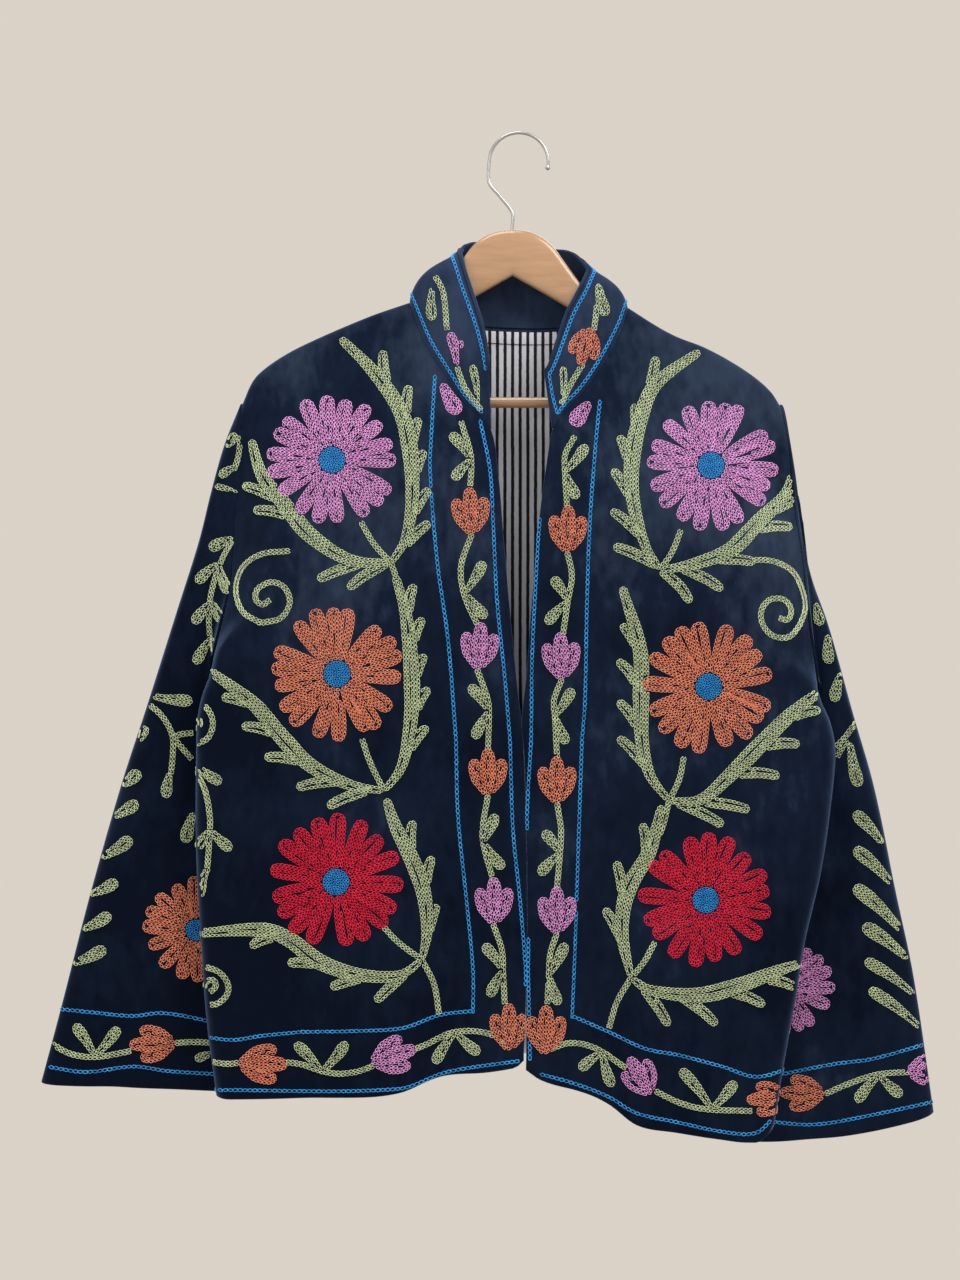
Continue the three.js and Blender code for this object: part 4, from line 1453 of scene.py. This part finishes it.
# ---- the embroidery: the motifs of each panel, in the photograph's pixels ----
FLOWERS = [  # panel, u, v, radius, colour, petals, start, gaps
    ["front_right", 332, 460, 66, "pink", 18, -100, (0, 5, 8, 11)],
    ["front_right", 337, 674, 68, "orange", 18, -76, (0, 4, 9, 14)],
    ["front_right", 336, 882, 68, "red", 17, -88, (0, 3, 8, 12)],
    ["front_left", 711, 465.5, 67, "pink", 18, -60, (0, 5, 9, 13)],
    ["front_left", 708.6, 686.6, 67, "orange", 17, -96, (0, 4, 8, 13)],
    ["front_left", 705.7, 900, 67, "red", 17, -70, (0, 5, 9, 12)],
    ["sleeve_right", 196, 930, 54, "orange", 16, -94, (0, 5, 10)],
    ["sleeve_left", 786, 988, 49, "pink", 16, -90, (0, 5, 10)],
]
BRANCHES = [  # panel, half width, spine from its foot to its tip, tips of the leaflets
    [
        "front_right",
        8.6,
        [(391, 563), (405, 540), (412, 500), (410, 450), (400, 410), (372, 370), (340, 338)],
        [(383, 350), (409, 385), (419, 417), (424.5, 450), (430, 488), (430, 522)],
    ],
    [
        "front_right",
        8.6,
        [(391, 563), (350, 560), (310, 535), (285, 505), (262, 475), (251, 439)],
        [(242, 485), (253, 510), (317, 580), (347.5, 589)],
    ],
    [
        "front_right",
        8.4,
        [(384, 791), (400, 770), (408, 740), (412, 700), (410, 650), (405, 610), (395, 575)],
        [(414, 584), (423, 617), (425, 654), (429, 687), (428, 726)],
    ],
    [
        "front_right",
        8.6,
        [(384, 791), (350, 785), (310, 765), (280, 735), (255, 705), (208.7, 670)],
        [(221, 697), (241, 726), (264, 757), (296, 788), (327, 807)],
    ],
    [
        "front_right",
        8.6,
        [(422, 960), (427, 930), (423, 890), (412, 860), (395, 825), (386, 798)],
        [(413, 820), (432, 856), (437, 904)],
    ],
    [
        "front_right",
        8.6,
        [(422, 960), (400, 975), (360, 975), (320, 962), (290, 940), (265, 930), (199, 933)],
        [(250, 947), (287, 963), (330, 988), (375, 1002)],
    ],
    [
        "front_left",
        8.6,
        [(660, 570), (645, 545), (633, 500), (632, 460), (640, 420), (655, 385), (700, 351)],
        [(656, 356), (634.5, 403), (619, 435), (612, 469), (610.6, 510), (613, 546)],
    ],
    [
        "front_left",
        8.6,
        [(660, 570), (690, 565), (730, 550), (760, 520), (785, 495), (794, 471)],
        [(798, 499), (793, 527), (756, 562), (723, 590), (691, 603)],
    ],
    [
        "front_left",
        8.6,
        [(669, 801), (650, 775), (642, 740), (641, 700), (640, 650), (622, 586)],
        [(621, 624), (617, 660), (617.5, 700.5), (617.5, 737)],
    ],
    [
        "front_left",
        8.6,
        [(669, 801), (700, 800), (730, 775), (760, 745), (790, 715), (825.5, 687)],
        [(821, 710), (800.5, 744), (780, 776), (750, 810), (724, 825.5)],
    ],
    [
        "front_left",
        8.6,
        [(631, 978), (622, 930), (628, 890), (650, 850), (662, 805)],
        [(642, 823), (616, 861), (604, 908)],
    ],
    [
        "front_left",
        8.6,
        [(631, 978), (650, 990), (700, 995), (740, 985), (780, 970), (802, 963)],
        [(797, 988), (765, 1005.5), (717, 1025), (669, 1026)],
    ],
]
STEMS = [  # panel, points
    ["front_right", [(361, 522), (374, 544), (391, 563)]],
    ["front_right", [(391, 563), (401, 592), (407, 620)]],
    ["front_right", [(362, 739), (370, 762), (384, 791)]],
    ["front_right", [(381, 924), (398, 942), (422, 960)]],
    ["front_right", [(422, 960), (434, 984), (439, 1014)]],
    ["front_right", [(290, 551), (262, 554), (243, 567), (236, 590), (243, 612), (261, 623)]],
    ["front_right", [(261, 623), (281, 618), (290, 602), (284, 587), (271, 582), (258, 588)]],
    ["front_right", [(258, 588), (255, 598), (262, 605), (270, 600)]],
    ["front_right", [(197, 702), (207, 708), (213, 723), (208, 738), (197, 744)]],
    ["front_right", [(191, 720), (197, 717), (201, 723), (197, 729), (191, 727)]],
    ["front_right", [(206, 967), (219, 972), (228, 984), (227, 995), (217, 1004), (206, 1005)]],
    ["front_right", [(204, 992), (207, 981), (214, 980), (216, 987), (210, 992)]],
    ["front_right", [(194, 767), (205, 790), (210, 820), (209, 845), (207, 872)]],
    ["front_left", [(681, 530), (672, 552), (660, 570)]],
    ["front_left", [(684, 757), (679, 780), (669, 801)]],
    ["front_left", [(669, 801), (664, 822), (657, 842)]],
    ["front_left", [(655, 942), (644, 962), (631, 978)]],
    ["front_left", [(631, 978), (617, 1002), (609, 1028)]],
    ["front_left", [(750, 560), (772, 561), (792, 571), (802, 590), (805, 609), (799, 626)]],
    ["front_left", [(799, 626), (789, 637), (773, 636), (762, 623), (762, 608), (770, 599)]],
    ["front_left", [(770, 599), (783, 599), (791, 609), (788, 620), (779, 618)]],
    ["front_right", [(461, 421), (471, 457), (470, 490)]],
    ["front_right", [(472, 534), (461, 566), (464, 594), (477, 624)]],
    ["front_right", [(477, 669), (488, 700), (489, 712), (488, 750)]],
    ["front_right", [(488, 795), (483, 825), (483, 842), (493, 880)]],
    ["front_right", [(493, 924), (502, 950), (503, 970), (505, 1008)]],
    ["front_right", [(507, 1048), (490, 1034), (455, 1032), (425, 1045), (408, 1052)]],
    ["front_right", [(382, 1062), (356, 1072), (330, 1073), (300, 1064), (282, 1062)]],
    ["front_right", [(243, 1062), (228, 1064), (213, 1062)]],
    ["front_left", [(575, 436), (565, 455), (565, 472), (567, 506)]],
    ["front_left", [(567, 552), (572, 575), (568, 600), (563, 634)]],
    ["front_left", [(562, 679), (554, 700), (555, 717), (557, 758)]],
    ["front_left", [(557, 803), (561, 830), (560, 853), (557, 888)]],
    ["front_left", [(557, 933), (550, 955), (549, 975), (547, 1008)]],
    ["front_left", [(548, 1050), (570, 1043), (595, 1048), (626, 1068)]],
    ["front_left", [(655, 1091), (680, 1103), (705, 1109), (752, 1111)]],
    ["sleeve_right", [(241, 436), (238, 458), (234, 470)]],
    ["sleeve_right", [(232, 541), (221, 562), (212, 590), (209, 615), (210, 640)]],
    ["sleeve_right", [(150, 705), (162, 716), (172, 734), (173, 752), (171, 774)]],
    ["sleeve_right", [(173, 737), (182, 734), (193, 733)]],
    ["sleeve_right", [(174, 738), (182, 748), (192, 759)]],
    ["sleeve_right", [(52, 1044), (71, 1054), (96, 1057), (131, 1051)]],
    ["sleeve_right", [(175, 1043), (195, 1042), (212, 1043)]],
    ["sleeve_left", [(856, 722), (846, 736), (836, 747)]],
    ["sleeve_left", [(847, 740), (842, 748), (837, 757)]],
    ["sleeve_left", [(825, 1094), (853, 1082), (880, 1074), (909, 1072)]],
    ["collar_right", [(435, 276), (443, 292), (447, 330)]],
    ["collar_right", [(457, 367), (465, 388), (481, 410)]],
    ["collar_left", [(598, 284), (597, 305), (594, 330)]],
    ["collar_left", [(583, 364), (572, 382), (561, 404)]],
]
TULIPS = {  # by panel: u, v of the stem's end, size, turn, colour
    "front_right": [
        (472, 535, 48, -3, "orange"),
        (478, 670, 48, 4, "pink"),
        (488, 796, 48, 0, "orange"),
        (494, 925, 48, 0, "pink"),
        (509, 1051, 48, 0, "orange"),
        (371, 1063, 48, 72, "pink"),
        (238, 1064, 50, 90, "orange"),
    ],
    "front_left": [
        (567, 553, 48, 2, "orange"),
        (562, 680, 48, -2, "pink"),
        (557, 804, 48, 0, "orange"),
        (557, 934, 48, 0, "pink"),
        (546, 1055, 50, 0, "orange"),
        (651, 1095, 44, -30, "pink"),
        (790, 1098, 44, -92, "orange"),
    ],
    "sleeve_right": [
        (176, 1043, 47, -92, "orange"),
    ],
    "sleeve_left": [
        (825, 1094, 46, -88, "orange"),
        (906, 1072, 40, 84, "pink"),
    ],
    "collar_left": [
        (590, 327, 40, 195, "orange"),
    ],
}
LEAF_PAIRS = {  # by panel: joint u, v, tips u, v of both leaves
    "front_right": [
        (471, 459, 450, 433, 453, 480),
        (465, 593, 484, 561, 487, 618),
        (489, 711, 469, 685, 474, 739),
        (483, 842, 496, 814, 504, 869),
        (503, 970, 483, 944, 489, 997),
        (455, 1032, 434, 1064, 480, 1054),
        (322, 1072, 295, 1043, 347, 1042),
        (210, 830, 232, 850, 197, 849),
    ],
    "front_left": [
        (565, 472, 587, 445, 578, 499),
        (568, 601, 552, 577, 546, 624),
        (555, 716, 573, 688, 567, 744),
        (560, 853, 543, 831, 539, 875),
        (549, 975, 566, 943, 559, 1005),
        (602, 1052, 579, 1070, 612, 1087),
        (712, 1109, 680, 1069, 736, 1081),
    ],
    "sleeve_right": [
        (218, 563, 196, 583, 229, 594),
        (212, 601, 193, 624, 223, 622),
        (212, 637, 195, 664, 219, 656),
        (95, 1056, 74, 1024, 119, 1027),
    ],
    "sleeve_left": [
        (879, 1075, 856, 1102, 902, 1096),
    ],
}
LEAVES = {  # by panel: foot u, v, tip u, v, half width, colour if it isn't green
    "front_right": [
        (442, 383, 459, 414, 9.0, "pink"),
        (195, 765, 222, 783, 6.0),
        (207, 868, 199, 898, 6.2),
    ],
    "front_left": [
        (590, 402, 573, 426, 9.5, "pink"),
    ],
    "collar_right": [
        (457, 367, 450, 332, 5.6, "pink"),
        (456, 352, 462, 340, 4.6, "pink"),
        (432, 287, 432, 321, 5.8),
        (478, 404, 472, 364, 4.4),
    ],
    "sleeve_right": [
        (122, 786, 140, 771, 7.6),
        (113, 817, 138, 802, 7.2),
        (101, 858, 132, 838, 7.2),
        (89, 895, 118, 881, 6.6),
        (82, 930, 111, 914, 6.8),
        (72, 964, 106, 948, 6.8),
        (139, 742, 146, 726, 6.0),
        (226, 448, 236, 433, 6.0),
        (236, 466, 219, 477, 5.4),
        (239, 493, 214, 486, 3.6),
        (234, 538, 209, 549, 6.6),
        (152, 696, 193, 701, 6.4),
        (170, 772, 166, 798, 6.6),
        (194, 812, 185, 843, 7.2),
        (213, 1053, 195, 1060, 5.4),
    ],
    "sleeve_left": [
        (883, 844, 854, 812, 7.0),
        (893, 885, 854, 848, 7.2),
        (902, 931, 854, 886, 7.8),
        (908, 959, 863, 925, 7.6),
        (915, 995, 865, 960, 6.4),
        (922, 1029, 869, 989, 6.4),
        (850, 742, 859, 787, 6.8),
        (816, 602, 821, 626, 6.0),
        (828, 634, 829, 664, 6.4),
        (841, 672, 834, 702, 6.4),
    ],
    "collar_left": [
        (598, 283, 606, 316, 7.0),
        (562, 404, 563, 366, 4.2),
    ],
}
LINES = {  # by panel: points
    "front_right": [
        [(435, 375), (431, 440), (430, 470), (437, 560), (448, 640), (456, 740)],
        [(456, 740), (458, 816), (467, 905), (473, 970), (473, 1013)],
        [(473, 1011), (440, 1015), (403, 1028), (359, 1031), (301, 1032)],
        [(301, 1032), (260, 1036), (233, 1040), (205, 1037)],
        [(480, 420), (490, 470), (493, 520), (497, 600), (505, 680), (510, 740)],
        [(510, 740), (513, 830), (520, 900), (525, 960), (527, 1000)],
        [(208, 1090), (398, 1089), (447, 1072), (519, 1061)],
    ],
    "front_left": [
        [(600, 400), (596, 440), (590, 520), (587, 600), (585, 700), (582, 740)],
        [(582, 740), (578, 855), (575, 947), (572, 1018)],
        [(572, 1016), (609, 1032), (646, 1049), (678, 1055), (724, 1067)],
        [(724, 1067), (756, 1077), (790, 1068)],
        [(548, 445), (543, 470), (537, 560), (532, 660), (531, 740), (528, 790)],
        [(528, 790), (526, 850), (528, 960), (530, 1060)],
        [(540, 1074), (574, 1083.5), (609, 1097), (636, 1113), (678, 1122.5)],
        [(678, 1122.5), (724, 1132), (756, 1133), (774, 1117)],
    ],
    "sleeve_right": [
        [(60, 1009), (98, 1013), (134, 1016), (159, 1013), (184, 1016), (212, 1022)],
        [(44, 1066), (85, 1072), (134, 1066.5), (167, 1071), (214, 1074)],
    ],
    "sleeve_left": [
        [(778, 1075), (834, 1064), (872, 1059), (923, 1045)],
        [(772, 1122), (815, 1124.5), (872, 1115), (933, 1102)],
    ],
}
LEAF_HALF = 6.2

# ---- what the photograph doesn't show: the back, the sleeves' backs, the collar's back ----
CENTRE_BAND = (445, 595)  # the fronts' bands, which the back has one vine instead of
BACK_VINE = dict(u=512, first=412, step=122, count=5, tulip=46, joint=84, lean=6)
LINE_ROW = 3.4
LINE_STITCH = 4.1
BORDER_TULIP = 34
BORDER_LEAF = 25
BORDER_SPREAD = 42
BORDER_WAVE = 0.008
# columns of both ends, and rows of both lines and of the vine at those ends
BACK_BORDER = dict(
    ends=(0.02, 0.98), lines=[(0.912, 0.912), (0.985, 0.985)], vine=(0.949, 0.949), tulips=7
)
CUFF_BORDER = dict(
    ends=(0.53, 0.97), lines=[(0.82, 0.895), (0.955, 0.985)], vine=(0.89, 0.94), tulips=2
)
PADDLES = dict(count=6, first=0.42, step=0.07, foot=0.95, tip=0.84, drop=0.035, half=7)
SLEEVE_SPRAY = [(0.71, 0.6), (0.74, 0.51), (0.78, 0.42), (0.77, 0.32)]
SLEEVE_SPRAY_LEAFLETS = [(0.71, 0.44), (0.83, 0.47), (0.73, 0.36), (0.84, 0.37)]
SPRAY_HALF = 8
SLEEVE_FLOWER = (0.72, 0.7)
SLEEVE_DAISY = dict(radius=46, petals=16, start=-90, gaps=(0, 5, 10))
COLLAR_ENDS = (0.02, 0.98)
COLLAR_LINES = (0.1, 0.87)
COLLAR_END = [(0.98, 0.87), (0.985, 0.5), (0.98, 0.1)]
COLLAR_TOPSTITCH = 0.95
COLLAR_VINE = [(0.4, 0.35), (0.5, 0.4), (0.6, 0.35)]
TOPSTITCH = dict(length=2.4, width=0.7)
LINING_STITCHES = [(0.4, 0.02), (0.6, 0.02)]


def seen_at(work, place):
    """The photograph's pixel of a place on a panel."""
    return photo_place(work.panel.at(np.array([place])))[0]


def border(work, ends, lines, vine, tulips):
    """Two blue lines along a hem, and a vine with tulips between them."""
    for rows in lines:
        work.seam(list(zip(ends, rows)), "blue", LINE_STITCH, LINE_ROW)
    path = []
    for k in range(2 * tulips + 1):
        share = k / (2 * tulips)
        wave = BORDER_WAVE * (-1) ** k
        path.append(seen_at(work, (lerp(*ends, share), lerp(*vine, share) + wave)))
    for k in range(tulips):
        foot, joint, end = path[2 * k : 2 * k + 3]
        away = unit(joint - foot)
        turn = math.degrees(math.atan2(away[0], -away[1]))
        work.tulip(*foot, BORDER_TULIP, turn, ("pink", "orange")[k % 2])
        work.stem([foot + away * BORDER_TULIP, joint, end])
        for side in (-1, 1):
            angle = math.radians(turn + BORDER_SPREAD * side)
            tip = joint + BORDER_LEAF * np.array([math.sin(angle), -math.cos(angle)])
            work.leaf(*joint, *tip, LEAF_HALF)


def back_motifs(work):
    """The fronts' large motifs once more, and one vine down the middle."""

    def beside_vine(points):
        return all(not CENTRE_BAND[0] < u < CENTRE_BAND[1] for u, v in points)

    for panel, *flower in FLOWERS:
        if panel.startswith("front"):
            work.flower(*flower)
    for panel, half, spine, leaflets in BRANCHES:
        work.branch(spine, half, leaflets)
    vine = BACK_VINE
    for k in range(vine["count"]):
        u, v, lean = vine["u"], vine["first"] + k * vine["step"], vine["lean"] * (-1) ** k
        joint = (u + lean, v + vine["joint"] / 2)
        work.tulip(u, v, vine["tulip"], 0, ("orange", "pink")[k % 2])
        work.stem([(u, v), joint, (u, v + vine["joint"])])
        for side in (-1, 1):
            rise = BORDER_LEAF * side * lean / vine["lean"]
            work.leaf(*joint, u + BORDER_LEAF * side, joint[1] - rise, LEAF_HALF)
    for panel, points in STEMS:
        if panel.startswith("front") and beside_vine(points):
            work.stem(points)
    border(work, **BACK_BORDER)


def sleeve_back_motifs(work, colour):
    work.flower(*seen_at(work, SLEEVE_FLOWER), colour=colour, **SLEEVE_DAISY)
    spray, leaflets = (
        [tuple(seen_at(work, place)) for place in places]
        for places in (SLEEVE_SPRAY, SLEEVE_SPRAY_LEAFLETS)
    )
    work.branch(spray, SPRAY_HALF, leaflets)
    for k in range(PADDLES["count"]):
        row = PADDLES["first"] + k * PADDLES["step"]
        foot = seen_at(work, (PADDLES["foot"], row + PADDLES["drop"]))
        tip = seen_at(work, (PADDLES["tip"], row))
        work.leaf(*foot, *tip, PADDLES["half"])
    border(work, **CUFF_BORDER)


def collar_motifs():
    for part, columns in COLLAR_PARTS.items():
        work = works["collar_" + part]
        low, high = np.clip(columns, *COLLAR_ENDS)
        for rise in COLLAR_LINES:
            work.seam([(low, rise), (high, rise)], "blue", LINE_STITCH, LINE_ROW)
        work.seam([(low, COLLAR_TOPSTITCH), (high, COLLAR_TOPSTITCH)], "navy", **TOPSTITCH)
    works["collar_left"].seam(COLLAR_END, "blue", LINE_STITCH, LINE_ROW)
    work = works["collar_behind"]
    for k, place in enumerate(COLLAR_VINE):
        u, v = seen_at(work, place)
        work.tulip(u, v, BORDER_TULIP, 0, ("orange", "pink")[k % 2])
    work.stem([seen_at(work, place) for place in COLLAR_VINE])


works = {
    name: Work(name, coarse=BACK_COARSE if name in BEHIND else 1.0, seed=k)
    for k, name in enumerate(panels)
}


def by_panel(table):
    """Each row of a table whose rows are grouped by panel, with that panel's work."""
    for panel, rows in table.items():
        for row in rows:
            yield works[panel], row


for panel, *flower in FLOWERS:
    works[panel].flower(*flower)
for panel, half, spine, leaflets in BRANCHES:
    works[panel].branch(spine, half, leaflets)
for work, tulip in by_panel(TULIPS):
    work.tulip(*tulip)
for work, (u, v, *tips) in by_panel(LEAF_PAIRS):
    work.leaf(u, v, *tips[:2], LEAF_HALF)
    work.leaf(u, v, *tips[2:], LEAF_HALF)
for work, leaf in by_panel(LEAVES):
    work.leaf(*leaf)
for panel, points in STEMS:
    works[panel].stem(points)
for work, points in by_panel(LINES):
    work.line(points)
back_motifs(works["back"])
sleeve_back_motifs(works["sleeve_right_behind"], "orange")
sleeve_back_motifs(works["sleeve_left_behind"], "pink")
collar_motifs()
works["lining"].seam(LINING_STITCHES, "navy", **TOPSTITCH)
for work in works.values():
    work.pieces()


# ---- the hanger's arms and hook ----
HANGER_X = -6
ARM_THICKNESS = 11
ARM_SQUARENESS = 3.4  # of the arms' section: 2 is an ellipse
ARM_TOP = [  # distance from the hanger's centre, z
    [0, -82.5],
    [12, -83.6],
    [24, -88.2],
    [34, -96],
    [43, -107.5],
    [54, -123],
    [72, -145],
    [89, -161.5],
    [104, -167],
    [127, -176],
    [165, -192.5],
    [187, -203],
    [209, -217.5],
    [217, -227],
]
ARM_UNDER = [
    [0, -122.3],
    [32, -140.5],
    [48, -150],
    [100, -180],
    [173, -219],
    [203, -236.5],
    [217, -240],
]
ARM_TIP_OVER = 9
ARM_STEP = 3
ARM_ROUND = 32
TIP_POINTS = 7
TIP_THIN = 0.35  # of the arms' thickness, at their tips
TIP_LOW = 0.03
HOOK_PATH = [  # x, z
    [-6.2, -94],
    [-6.2, -81],
    [-6.2, -68],
    [-16, -54.5],
    [-25.6, -43],
    [-26.8, -34],
]
HOOK_RADIUS = 25.5
HOOK_CENTRE = (-0.5, -24)
HOOK_ARC = (165, -16)
WIRE_RADIUS = 1.5
HOOK_BALL = 2.3
BALL_REACH = 3.4
BALL_END = 0.3
WIRE_ROUND = 12
HOOK_STEP = 0.9


def tube(name, middles, sections, material):
    """A closed loft: a ring of points round each middle, and a point in each end."""
    rings, count = sections.shape[:2]
    points = np.concatenate([(middles[:, None] + sections).reshape(-1, 3), middles[[0, -1]]])
    faces = grid_faces(rings, count, closed=True)
    around = np.arange(count)
    ends = []
    for ring, middle in ((0, rings * count), (rings - 1, rings * count + 1)):
        edge = ring * count + around[::2]
        following = ring * count + (around[::2] + 1) % count
        last = ring * count + (around[::2] + 2) % count
        ends.append(np.stack([edge, following, last, np.full(len(edge), middle)], axis=-1))
    piece = mesh_piece(name, points, np.concatenate([faces, *ends]), [material])
    face_outward(piece)
    return piece


def arms():
    reach = ARM_TOP[-1][0]
    across = np.arange(-reach, reach + ARM_STEP / 2, ARM_STEP)
    ease = np.linspace(0, 1, TIP_POINTS) ** 2 * ARM_TIP_OVER
    across = np.unique(np.concatenate([across, ease - reach, reach - ease, [0]]))
    away = np.abs(across)
    top = through(ARM_TOP)(away)[:, 0]
    under = np.interp(away, *np.array(ARM_UNDER).T)
    tip = roll((reach - away) / ARM_TIP_OVER)
    turns = np.linspace(0, 2 * math.pi, ARM_ROUND, endpoint=False)
    power = 2 / ARM_SQUARENESS
    y = np.sign(np.cos(turns)) * np.abs(np.cos(turns)) ** power
    z = np.sign(np.sin(turns)) * np.abs(np.sin(turns)) ** power
    middles = stack(HANGER_X + across, 0, (top + under) / 2)
    half_y = (ARM_THICKNESS / 2 * lerp(TIP_THIN, 1, tip))[:, None]
    half_z = ((top - under) / 2 * np.maximum(tip, TIP_LOW))[:, None]
    sections = stack(0, y[None] * half_y, z[None] * half_z)
    return tube("wood_arms", middles, sections, wood)


def hook():
    turns = np.radians(np.linspace(*HOOK_ARC, 43))
    bow = np.stack([np.cos(turns), np.sin(turns)], axis=-1) * HOOK_RADIUS + HOOK_CENTRE
    path = curve(np.concatenate([HOOK_PATH, bow[::3]]), HOOK_STEP)
    along = unit(np.gradient(path, axis=0))
    left_over = arc(path)[-1] - arc(path)
    ball = np.sqrt(np.clip(HOOK_BALL**2 - (left_over - HOOK_BALL) ** 2, 0, None))
    radius = np.where(left_over < BALL_REACH, np.maximum(ball, BALL_END), WIRE_RADIUS)
    around = np.linspace(0, 2 * math.pi, WIRE_ROUND, endpoint=False)
    beside = np.cos(around)[None] * radius[:, None]
    depth = np.sin(around)[None] * radius[:, None]
    sections = stack(-along[:, 1, None] * beside, depth, along[:, 0, None] * beside)
    middles = stack(path[:, 0], 0, path[:, 1])
    return tube("wire_hook", middles, sections, chrome)


for piece, node, slot in (
    (arms(), "hanger_arms", "lacquered_wood"),
    (hook(), "hanger_hook", "chrome_wire"),
):
    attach(piece, "root")
    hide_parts(node)

# ---- the camera, the light and the floor ----
scene = bpy.context.scene
camera_data = bpy.data.cameras.new("camera")
camera_data.sensor_width = SENSOR
camera_data.lens = FOCAL_PX / LONG_SIDE_PX * SENSOR
camera_data.clip_start = 0.05
camera_data.clip_end = 50
camera = bpy.data.objects.new("camera", camera_data)
camera.location = CAMERA * MM
camera.rotation_euler = (math.pi / 2, 0, 0)
scene.collection.objects.link(camera)
scene.camera = camera

LIGHTS = [  # name, place in metres, looks at, size, watts, colour
    ["key", (1.3, -1.5, 1.2), (0.05, 0, -0.45), 1.2, 28, (1.0, 0.98, 0.95)],
    ["fill", (-1.5, -1.7, 0.3), (0, 0, -0.3), 1.2, 9, (0.96, 0.98, 1.0)],
    ["top", (-0.3, -0.9, 1.7), (0, 0, -0.3), 1.0, 16, (1.0, 0.99, 0.97)],
    ["behind", (0.4, 2.0, 0.9), (0, 0, -0.45), 1.6, 14, (1.0, 0.98, 0.96)],
]


def aim(obj, target):
    place = np.array(obj.location)
    away = place - np.array(target)
    flat = math.hypot(away[0], away[1])
    obj.rotation_euler = (math.atan2(flat, away[2]), 0, math.atan2(away[0], -away[1]))


for name, place, target, size, watts, colour in LIGHTS:
    light = bpy.data.lights.new(name, "AREA")
    light.size = size
    light.energy = watts
    light.color = colour
    lamp = bpy.data.objects.new(name, light)
    lamp.location = place
    aim(lamp, target)
    scene.collection.objects.link(lamp)

ROOM_LIGHT = (0.705, 0.646, 0.572, 1)
world = bpy.data.worlds.new("room")
world.use_nodes = True
background = world.node_tree.nodes["Background"].inputs
background["Color"].default_value = ROOM_LIGHT
background["Strength"].default_value = 1.0
scene.world = world
scene.view_settings.view_transform = "Standard"

FLOOR_Z = -2100
FLOOR_HALF = 2200
FLOOR_SIDES = [(-1, -1), (1, -1), (1, 1), (-1, 1)]
floor_corners = np.array([[x * FLOOR_HALF, y * FLOOR_HALF, FLOOR_Z] for x, y in FLOOR_SIDES], float)
floor_shader = Shader("pale_floor")
floor_tone = floor_shader.ramp(
    floor_shader.noise(3, 4), [(0.3, (0.66, 0.62, 0.55)), (0.7, (0.72, 0.68, 0.61))]
)
floor_material = floor_shader.finish(Base_Color=floor_tone, Roughness=0.7)
floor = mesh_piece("floor", floor_corners, np.array([[0, 1, 2, 3]]), [floor_material])

bar = bpy.data.objects["hanger_bar"]
bar.data.materials.clear()
bar.data.materials.append(wood)
